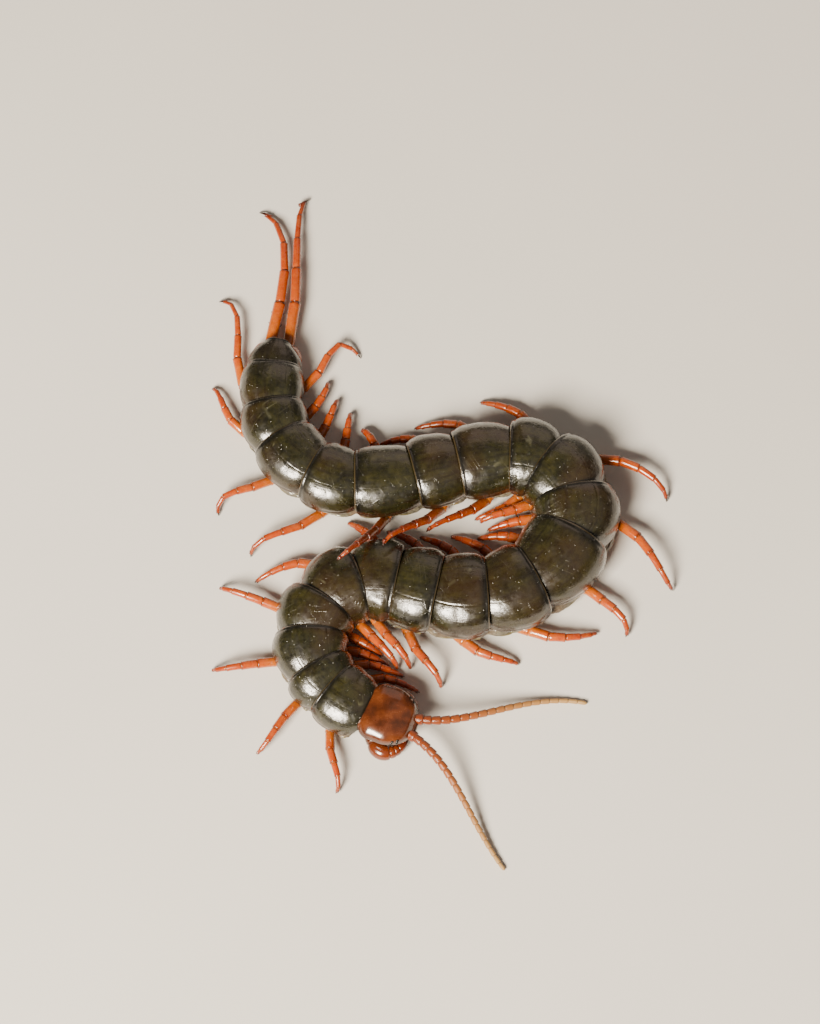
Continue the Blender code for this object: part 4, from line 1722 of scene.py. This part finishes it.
@dataclass(frozen=True)
class TailEnd:
    """The last pair of legs, with the swollen plates that carry them.

    Places are behind the last plate, out to the side and up. The thigh's spines have
    shares of its length and turns round it. The swelling has places and radii.
    """

    radius: float = 0.70
    base: tuple = (0.35, 1.05, 1.45)
    rise: float = 0.08
    lead: float = 6.3
    root_depth: float = 0.5
    splay: tuple = (0.10, -0.07)
    courses: tuple = (
        ((18.8, -2.4, 1.4), (19.5, 0.05, 0.12)),
        ((16.1, 0.6, 1.4), (16.9, 5.5, 0.12)),
    )
    thigh: tuple = ((0.35, -0.9), (0.62, -0.9), (0.45, -0.25), (0.72, -0.25), (0.94, 0.9))
    swollen: tuple = (
        (-2.9, 1.75, 1.35), (-1.6, 1.70, 1.30), (-0.4, 1.45, 1.10), (0.5, 1.05, 0.62),
        (1.4, 0.95, 0.40),
    )
    swollen_radii: tuple = (
        (0.0, 0.5), (0.12, 1.0), (0.35, 1.28), (0.60, 1.05), (0.78, 0.5), (0.90, 0.30),
        (1.0, 0.06),
    )
    spine_length: float = 0.35
    spine_aside: float = 0.16
    spine_rise: float = 0.10

    def point(self, side: Side, behind: float, out: float, up: float) -> Array:
        """A point behind the last plate, out towards the leg's own side."""
        return PATH.points(PATH.total + behind, side.value * out, up)

    def limb(self, side: Side) -> Limb:
        """Places one of the two legs.

        Args:
            side: Its side.

        Returns:
            The leg.
        """
        which = list(Side).index(side)
        ahead, left = PATH.axes(PATH.total)
        axis = unit(left * side.value * self.splay[which] - ahead + UP * self.rise)
        base = self.point(side, *self.base)
        start = base + axis * GAP
        ends = [self.point(side, *step) for step in self.courses[which]]
        curve = Curve((start, start + axis * self.lead, *ends))
        return Limb(curve, self.radius, base - axis * self.root_depth)

    def thigh_spines(self, form: Sculpt, limb: Limb) -> None:
        """Adds the rows of short spines on the first article, and the one at its end.

        Args:
            form: The shape to add to.
            limb: The leg that carries them.
        """
        start, end = limb.joints[:2]
        way = unit(end - start)
        across = unit(np.cross(way, UP))
        length = float(np.linalg.norm(end - start))
        for place, turn in self.thigh:
            for hand in (1, -1):
                outward_way = across * hand * math.cos(turn) + UP * math.sin(turn)
                root = start + way * length * place + outward_way * limb.radius * 0.80
                add_spur(form, root, root + outward_way * 0.26 + way * 0.26, 0.11)

    def swelling(self, form: Sculpt, side: Side) -> None:
        """Adds the swollen plate beside the last belly plate, with its pointed end.

        Args:
            form: The shape to add to.
            side: The plate's side.
        """
        points = [self.point(side, *spot) for spot in self.swollen]
        t = evenly(30)
        line = through_columns(points, t).T
        radius = smooth_through(*zip(*self.swollen_radii), t)
        form.rings(tube(line, radius, 28), t[:, None], 0.4)
        behind, out, up = self.swollen[-1]
        root = self.point(side, behind - self.spine_length, out, up)
        _, left = PATH.axes(PATH.total)
        for turn in (-self.spine_aside, self.spine_aside):
            add_spur(form, root, points[-1] + left * turn + UP * self.spine_rise, 0.07)

    def build(self, leg: Sequence[Finish], claw: Finish, plate: Finish) -> None:
        """Makes both legs, their claws and spines, and the plates that carry them.

        Args:
            leg: The legs' finishes, for the articles and for the joints.
            claw: The finish of the claws and spines.
            plate: The swollen plates' finish.
        """
        claws = Sculpt()
        swellings = Sculpt()
        for side in Side:
            limb = self.limb(side)
            form = Sculpt()
            limb.articles(form)
            limb.skin(form)
            limb.claw(claws)
            self.thigh_spines(claws, limb)
            self.swelling(swellings, side)
            node = f"leg_{side.word}_21"
            add_piece(f"trailing_{node}", form, leg, [node])
        add_piece("trailing_claws", claws, [claw])
        add_piece("tail_swellings", swellings, [plate])


class HeadFrame:
    """The axes of the head: ahead of the neck, to the animal's left, and up."""

    def __init__(self) -> None:
        """Takes the axes from the path of the body at the neck."""
        self.ahead, self.left = PATH.axes(0.0)
        self.neck = np.array((NECK_X, NECK_Y, 0.0))

    def at(self, ahead: Numbers, left: Numbers, up: Numbers) -> Array:
        """Points in the head's axes.

        Args:
            ahead: Distances ahead of the neck.
            left: Distances to the left.
            up: Heights above the floor.

        Returns:
            The points.
        """
        ahead, left, up = np.broadcast_arrays(ahead, left, up)
        flat = self.neck + ahead[..., None] * self.ahead + left[..., None] * self.left
        return flat + up[..., None] * UP

    def way(self, side: Side, aside: float) -> Array:
        """The direction ahead, turned out to one side."""
        return unit(self.ahead + self.left * side.value * aside)


HEAD = HeadFrame()


@dataclass(frozen=True)
class Head:
    """The head with its shield, simple eyes, feelers, fangs and mouthparts.

    Lengths are in millimetres. A station has its distance ahead of the neck, its half
    width, its top and its underside. Other places are ahead, out to the side and up. An
    eye has its distance ahead and its place across the shield. The profiles have places
    along a part with the radius there. The shield's grooves and rims are places with
    widths, and its grooves begin or end, and its brow droops, between two places.
    """

    stations: tuple = (
        (0.15, 2.70, 4.75, 2.35), (0.70, 3.10, 5.00, 2.30), (1.90, 3.38, 5.15, 2.30),
        (3.20, 3.30, 5.10, 2.30), (4.30, 2.92, 4.85, 2.30), (5.10, 2.30, 4.55, 2.35),
        (5.65, 1.50, 4.20, 2.50),
    )
    plate_stations: tuple = (
        (0.15, 2.10, 1.95, 0.15), (1.00, 2.30, 2.00, 0.0), (2.20, 2.10, 2.00, 0.0),
        (3.00, 1.60, 1.90, 0.1), (3.50, 1.10, 1.70, 0.4),
    )
    edge_share: float = 0.52
    dome_power: float = 2.6
    bow_start: float = 2.6
    bow_length: float = 3.3
    bow_half: float = 3.3
    brow_droop: float = 0.42
    brow: tuple = (5.0, 5.8)
    fold: float = 0.06
    fold_inset: float = 0.06
    fold_depth: float = 0.20
    shield_start: float = -0.30
    shield_length: float = 6.10
    shield_thickness: float = 0.16
    shield_round: float = 0.12
    front_groove: tuple = (0.0, 0.02)
    front_groove_start: tuple = (3.4, 4.4)
    rear_grooves: tuple = (0.34, 0.02)
    rear_groove_end: tuple = (0.9, 1.5)
    groove_depths: tuple = (0.05, 0.035)
    side_rim: tuple = (0.98, 0.03)
    rear_rim: tuple = (0.03, 0.015)
    rim_heights: tuple = (0.04, 0.035)
    shield_wave: tuple = (0.03, 2.6, 11)
    capsule_length: float = 6.0
    capsule_round: tuple = (4.6, 1.45)
    lip_height: float = 0.9
    eyes: tuple = ((4.15, 0.77), (4.62, 0.72), (4.05, 0.90), (4.60, 0.86))
    eye_radius: float = 0.21
    eye_sunk: float = 0.962
    eye_drop: float = 0.07
    feeler_articles: int = 18
    feeler_radii: tuple = (0.52, 0.24)
    feeler_base: tuple = (5.85, 1.0, 3.45)
    feeler_aside: float = 0.25
    feeler_lead: float = 5.5
    feeler_courses: tuple = (
        ((15.5, 9.5, 0.2), (22.0, 10.5, 0.3)),
        ((15.0, -7.0, 0.2), (20.5, -10.5, 0.3)),
    )
    feeler_profile: tuple = (
        (0.0, 0.62), (0.04, 0.76), (0.12, 0.86), (0.30, 0.93), (0.55, 0.98), (0.75, 1.02),
        (0.88, 1.04), (0.95, 1.0), (0.99, 0.86), (1.0, 0.62),
    )
    fang_base: tuple = (1.90, 2.55, 1.0)
    fang_aside: float = 1.2
    fang_lead: float = 1.6
    fang_course: tuple = ((5.2, 3.0, 1.1), (5.3, 0.45, 0.9))
    fang_profiles: tuple = (
        (
            (-0.05, 0.60), (0.0, 0.78), (0.06, 0.88), (0.18, 0.93), (0.30, 0.90), (0.38, 0.80),
            (0.41, 0.70), (0.42, 0.50),
        ),
        ((0.40, 0.50), (0.415, 0.66), (0.45, 0.70), (0.50, 0.66), (0.515, 0.60), (0.52, 0.44)),
        ((0.505, 0.44), (0.52, 0.57), (0.56, 0.61), (0.61, 0.56), (0.625, 0.50), (0.63, 0.36)),
        (
            (0.61, 0.36), (0.63, 0.48), (0.68, 0.50), (0.76, 0.43), (0.84, 0.33), (0.91, 0.22),
            (0.96, 0.12), (1.0, 0.03),
        ),
    )
    plate_start: float = 0.10
    plate_length: float = 3.45
    lobe: tuple = (3.0, 0.50, 1.15)
    lobe_length: float = 0.95
    tooth_count: int = 4
    tooth: tuple = (3.86, 0.18, 1.15)
    tooth_spacing: float = 0.20
    tooth_length: float = 0.24
    tooth_radius: float = 0.10
    palp: tuple = ((2.9, 1.9, 2.10), (5.1, 1.75, 1.98), (5.1, 1.75, 1.98), (5.35, 0.35, 1.98))
    palp_joints: tuple = (0.0, 0.38, 0.66, 1.0)
    palp_radii: tuple = (0.34, 0.30, 0.25)

    def read(self, table: tuple, ahead: Numbers) -> list[Array]:
        """The half width, the top and the underside at distances ahead of the neck."""
        places, *columns = zip(*table)
        return [smooth_through(places, column, ahead) for column in columns]

    def dome(self, ahead: Numbers, share: Numbers) -> tuple[Array, Array]:
        """The outside of the shield.

        Args:
            ahead: Distances ahead of the neck.
            share: Places across, where 1 is the side edge and more is the fold below it.

        Returns:
            Distances to the left and heights.
        """
        half, top, low = self.read(self.stations, ahead)
        bow = np.clip((ahead - self.bow_start) / self.bow_length, 0.0, 1.0)
        front = self.bow_half * np.sqrt(np.clip(1 - bow**2, 0.03, 1.0))
        half = np.minimum(half, front) * (1 - 0.10 * (1 - ease(ahead, -0.3, 0.5)))
        top = top + 0.05 - self.brow_droop * ease(ahead, *self.brow)
        edge = low + (top - low) * self.edge_share
        wide, high, below = arch(share, self.dome_power, self.fold)
        out = half * wide - self.fold_inset * below
        return np.sign(share) * out, edge + (top - edge) * high - self.fold_depth * below

    def shield(self) -> Sculpt:
        """The domed shield on top of the head, with its sutures and its rim.

        Returns:
            The closed shapes.
        """
        t = evenly(60)[:, None]
        ahead = self.shield_start + self.shield_length * (t - 0.08 * np.sin(2 * math.pi * t))
        share = np.linspace(-1 - self.fold, 1 + self.fold, 73)[None, :]
        left, up = self.dome(ahead, share)
        grid = HEAD.at(ahead, left, up)
        side = np.abs(share)
        front, rear = self.groove_depths
        fine = -front * ridge(share, *self.front_groove) * ease(ahead, *self.front_groove_start)
        behind = 1 - ease(ahead, *self.rear_groove_end)
        fine = fine - rear * ridge(side, *self.rear_grooves) * behind
        height, size, seed = self.shield_wave
        side_rim, rear_rim = self.rim_heights
        fine = fine + height * unevenness(grid, size, seed) + side_rim * ridge(side, *self.side_rim)
        fine = fine + rear_rim * ridge(t, *self.rear_rim)
        from_end = np.minimum(t, 1 - t) * 6.0
        thick = self.shield_thickness * rounded(from_end / self.shield_round, 0.3)
        return domed_shell(grid, fine, thick, t, share, ahead)

    def capsule(self) -> Sculpt:
        """The body of the head below its shield, with the brow and the upper lip.

        Returns:
            The closed shapes.
        """
        t = evenly(44)
        ahead = self.capsule_length * t
        start, length = self.capsule_round
        bow = ((ahead - start) / length).clip(0, 1)
        shrink = np.sqrt(np.clip(1 - bow**2, 0.02, 1.0))
        half, top, low = self.read(self.stations, ahead)
        half = half * np.where(ahead > start, 0.35 + 0.65 * shrink, 1.0)
        top = top - 0.22
        edge = low + (top - low) * self.edge_share
        outs = [
            0 * half, half * 0.55, half * 0.86, half - 0.28, half - 0.36, half * 0.80,
            half * 0.45, 0 * half,
        ]
        ups = [top, top - 0.15, edge + 0.25, edge - 0.1, edge - 0.45, low + 0.25, low, low]
        lip = low + self.lip_height
        ups = [lip + (up - lip) * (0.3 + 0.7 * shrink) for up in ups]
        place = evenly(25)
        out = mirrored(through_columns(outs, place), -1)
        up = mirrored(through_columns(ups, place))
        return Sculpt().rings(HEAD.at(ahead[:, None], out, up), t[:, None], 0.9)

    def eye_forms(self) -> Sculpt:
        """Four simple eyes on each side, half sunk in the shield.

        Returns:
            The closed shapes.
        """
        form = Sculpt()
        polar = np.linspace(0.02, math.pi - 0.02, 14)[:, None]
        around = turn_round(24)[None, :]
        wide = np.sin(polar)
        parts = (wide * np.cos(around), wide * np.sin(around), np.cos(polar) + 0 * around)
        ball = np.stack(parts, axis=-1) * self.eye_radius
        for side in Side:
            for ahead, share in self.eyes:
                left, up = self.dome(ahead, side.value * share)
                form.rings(HEAD.at(ahead, left * self.eye_sunk, up - self.eye_drop) + ball, 0.5)
        return form

    def feeler(self, side: Side) -> Sculpt:
        """Shapes one feeler, of 18 articles on its socket.

        Args:
            side: The feeler's side.

        Returns:
            The closed shapes.
        """
        axis = HEAD.way(side, self.feeler_aside)
        ahead, out, up = self.feeler_base
        base = HEAD.at(ahead, side.value * out, up)
        start = base + axis * GAP
        ends = [HEAD.at(*step) for step in self.feeler_courses[list(Side).index(side)]]
        curve = Curve((start, start + axis * self.feeler_lead, *ends))
        form = Sculpt()
        t = evenly(10)
        line = base - axis * 1.3 + axis * (t * 1.75)[:, None]
        form.rings(tube(line, 0.70 - 0.12 * t + 0.05 * np.sin(t * 9), 22), 0.0, 0.2)
        rows, wide = np.array(self.feeler_profile).T
        first_radius, last_radius = self.feeler_radii
        near = np.maximum(ease(rows, 0.9, 1.0), 1 - ease(rows, 0.0, 0.1))
        for number in range(self.feeler_articles):
            first = number / self.feeler_articles - (0.012 if number == 0 else 0.002)
            share = np.minimum(np.maximum(first, 0) + rows / self.feeler_articles, 1.0)
            radius = first_radius + (last_radius - first_radius) * share
            if number == self.feeler_articles - 1:
                radius = radius * np.sqrt(np.clip(1.02 - rows**4, 0.04, 1))
            points = curve.at(share)
            # Each ring goes on a hair's breadth, so that two never share a place.
            points = points + unit(points[-1] - points[0]) * (np.arange(len(rows)) * 1e-4)[:, None]
            form.rings(tube(points, radius * wide, 16), share[:, None], near[:, None])
        return form

    def fang_root(self, side: Side) -> tuple[Array, Array]:
        """The direction and the place of one fang's root."""
        ahead, out, up = self.fang_base
        return HEAD.way(side, self.fang_aside), HEAD.at(ahead, side.value * out, up)

    def fang(self, side: Side) -> Sculpt:
        """Shapes one fang: its thick root, two short articles and the curved point.

        Args:
            side: The fang's side.

        Returns:
            The closed shapes.
        """
        axis, base = self.fang_root(side)
        start = base + axis * GAP
        ends = [HEAD.at(ahead, side.value * out, up) for ahead, out, up in self.fang_course]
        curve = Curve((start, start + axis * self.fang_lead, *ends))
        form = Sculpt()
        for profile in self.fang_profiles:
            spots, wide = zip(*profile)
            fine = np.linspace(spots[0], spots[-1], 18)
            points = curve.at(np.clip(fine, 0, 1)) - axis * np.maximum(-fine, 0)[:, None] * 6
            form.rings(tube(points, smooth_through(spots, wide, fine), 24), fine[:, None])
        return form

    def throat_plate(self) -> Sculpt:
        """The plate under the head that carries the fangs, with its two toothed lobes.

        Returns:
            The closed shapes.
        """
        t = evenly(30)[:, None]
        ahead = self.plate_start + self.plate_length * t
        half, top, low = self.read(self.plate_stations, ahead)
        angle = turn_round(56)
        out = half * squared_off(np.cos(angle), 0.55)
        up = (top + low) / 2 + (top - low) / 2 * squared_off(np.sin(angle), 0.6)
        seam = 0.05 * ridge(out, 0.0, 0.07) * (np.sin(angle) < 0)
        form = Sculpt().rings(HEAD.at(ahead, out, up + seam), t, out / half)
        socket = evenly(10)
        s = evenly(12)
        ahead, aside, height = self.lobe
        for side in Side:
            axis, base = self.fang_root(side)
            line = base - axis * 1.2 + axis * (socket * 1.3)[:, None]
            form.rings(tube(line, 0.90 - 0.10 * socket, 26), 0.5, 0.8)
            line = HEAD.at(ahead + self.lobe_length * s, side.value * (aside - 0.02 * s), height)
            form.rings(tube(line, 0.46 - 0.10 * s**2, 20, 0.45), 0.5, 0.6)
        return form

    def teeth(self) -> Sculpt:
        """Four small teeth on each lobe of the throat plate.

        Returns:
            The closed shapes.
        """
        form = Sculpt()
        start, aside, up = self.tooth
        for side in Side:
            for number in range(self.tooth_count):
                out = side.value * (aside + self.tooth_spacing * number)
                ahead = start - 0.05 * number
                point = HEAD.at(ahead + self.tooth_length, out, up - 0.02)
                add_spur(form, HEAD.at(ahead, out, up), point, self.tooth_radius)
        return form

    def mouthparts(self) -> Sculpt:
        """The two small palps that lie across the mouth.

        Returns:
            The closed shapes.
        """
        form = Sculpt()
        for side in Side:
            curve = Curve([HEAD.at(ahead, side.value * out, up) for ahead, out, up in self.palp])
            for number, wide in enumerate(self.palp_radii):
                start, end = curve.at(np.array(self.palp_joints[number : number + 2]))
                ARTICLE.add(form, start, end, (wide, wide * 0.9), (0.1, 0.4), 0.02)
        return form

    def build(self, kit: Kit) -> None:
        """Makes every piece of the head.

        Args:
            kit: The finishes.
        """
        add_piece("head_shield", self.shield(), [kit.head], ["head"])
        add_piece("head_capsule", self.capsule(), [kit.head])
        add_piece("simple_eyes", self.eye_forms(), [kit.eye])
        add_piece("throat_plate", self.throat_plate(), [kit.head], ["forcipule_plate"])
        add_piece("throat_teeth", self.teeth(), [kit.claw])
        add_piece("mouth_palps", self.mouthparts(), [kit.leg, kit.leg_skin])
        for side in Side:
            word = side.word
            feeler = self.feeler(side)
            add_piece(f"feeler_{word}", feeler, [kit.feeler], [f"antenna_{word}"])
            fang = self.fang(side)
            add_piece(f"fang_{word}", fang, [kit.fang], [f"forcipule_{word}"])


@dataclass(frozen=True)
class SoftLight:
    """A square soft light that points at the animal.

    The azimuth is its bearing in degrees, where 0 is the camera's side and 90 is +X, and
    the elevation is its angle above the floor. The distance and the size are in metres,
    and the power is in watts.
    """

    name: str
    azimuth: float
    elevation: float
    distance: float
    size: float
    power: float
    colour: str

    def build(self) -> None:
        """Adds the light."""
        data = bpy.data.lights.new(self.name, "AREA")
        data.size = self.size
        data.energy = self.power
        data.color = linear(self.colour)[:3]
        made = bpy.data.objects.new(self.name, data)
        a, e = math.radians(self.azimuth), math.radians(self.elevation)
        way = Vector((math.sin(a) * math.cos(e), -math.cos(a) * math.cos(e), math.sin(e)))
        made.location = way * self.distance
        made.rotation_euler = way.to_track_quat("Z", "Y").to_euler()
        show(made)


@dataclass(frozen=True)
class Studio:
    """The pale board, the soft lights and the camera.

    The camera's target and the width of its field there are in millimetres, and its
    distance, the board's half width and the gap that keeps the board clear of the belly
    are in metres.
    """

    target: tuple = (-3.40, 0.12, 4.0)
    field: float = 113.78
    elevation: float = math.radians(70)
    distance: float = 0.42
    sensor: float = 36.0
    board_half: float = 1.5
    board_gap: float = 0.00002
    sky: str = "#d9d2c8"
    sky_strength: float = 0.13
    lights: tuple = (
        SoftLight("key", -33, 42, 0.55, 0.20, 12.2, "#fff2de"),
        SoftLight("fill", 75, 62, 0.60, 0.60, 0.25, "#fff0e4"),
        SoftLight("rim", 165, 35, 0.60, 0.45, 0.45, "#ffe4d2"),
    )

    def camera(self) -> None:
        """Adds the camera at the photograph's angle and framing."""
        data = bpy.data.cameras.new("camera")
        data.sensor_width = self.sensor
        data.lens = self.sensor * self.distance / (self.field * MM)
        made = bpy.data.objects.new("camera", data)
        back = Vector((0.0, -math.cos(self.elevation), math.sin(self.elevation)))
        made.location = Vector(self.target) * MM + back * self.distance
        made.rotation_euler = (math.pi / 2 - self.elevation, 0.0, 0.0)
        show(made)
        bpy.context.scene.camera = made

    def build(self, board: Finish) -> None:
        """Makes the floor, the world, the lights and the camera.

        Args:
            board: The floor's finish.
        """
        mesh = bpy.data.meshes.new("floor")
        bm = bmesh.new()
        bmesh.ops.create_grid(bm, x_segments=1, y_segments=1, size=self.board_half)
        bm.to_mesh(mesh)
        bm.free()
        floor = bpy.data.objects.new("floor", mesh)
        floor.location.z = -self.board_gap
        floor.data.materials.append(board.material)
        show(floor)
        world = bpy.data.worlds.new("studio")
        world.use_nodes = True
        sky = world.node_tree.nodes["Background"]
        sky.inputs["Color"].default_value = linear(self.sky)
        sky.inputs["Strength"].default_value = self.sky_strength
        bpy.context.scene.world = world
        for light in self.lights:
            light.build()
        self.camera()


def main() -> None:
    """Builds the animal piece by piece, then the studio."""
    logging.basicConfig(level=logging.INFO, format="%(message)s")
    kit = Kit()
    BackPlates().build(kit.back)
    SKIN.build(kit.skin)
    SidePlates().build(kit.belly, kit.claw)
    BellyPlates().build(kit.belly)
    WalkingLegs().build([kit.leg, kit.leg_skin], kit.claw)
    TailEnd().build([kit.leg, kit.leg_skin], kit.claw, kit.leg)
    Head().build(kit)
    Studio().build(StudioBoard())


if __name__ == "__main__":
    main()
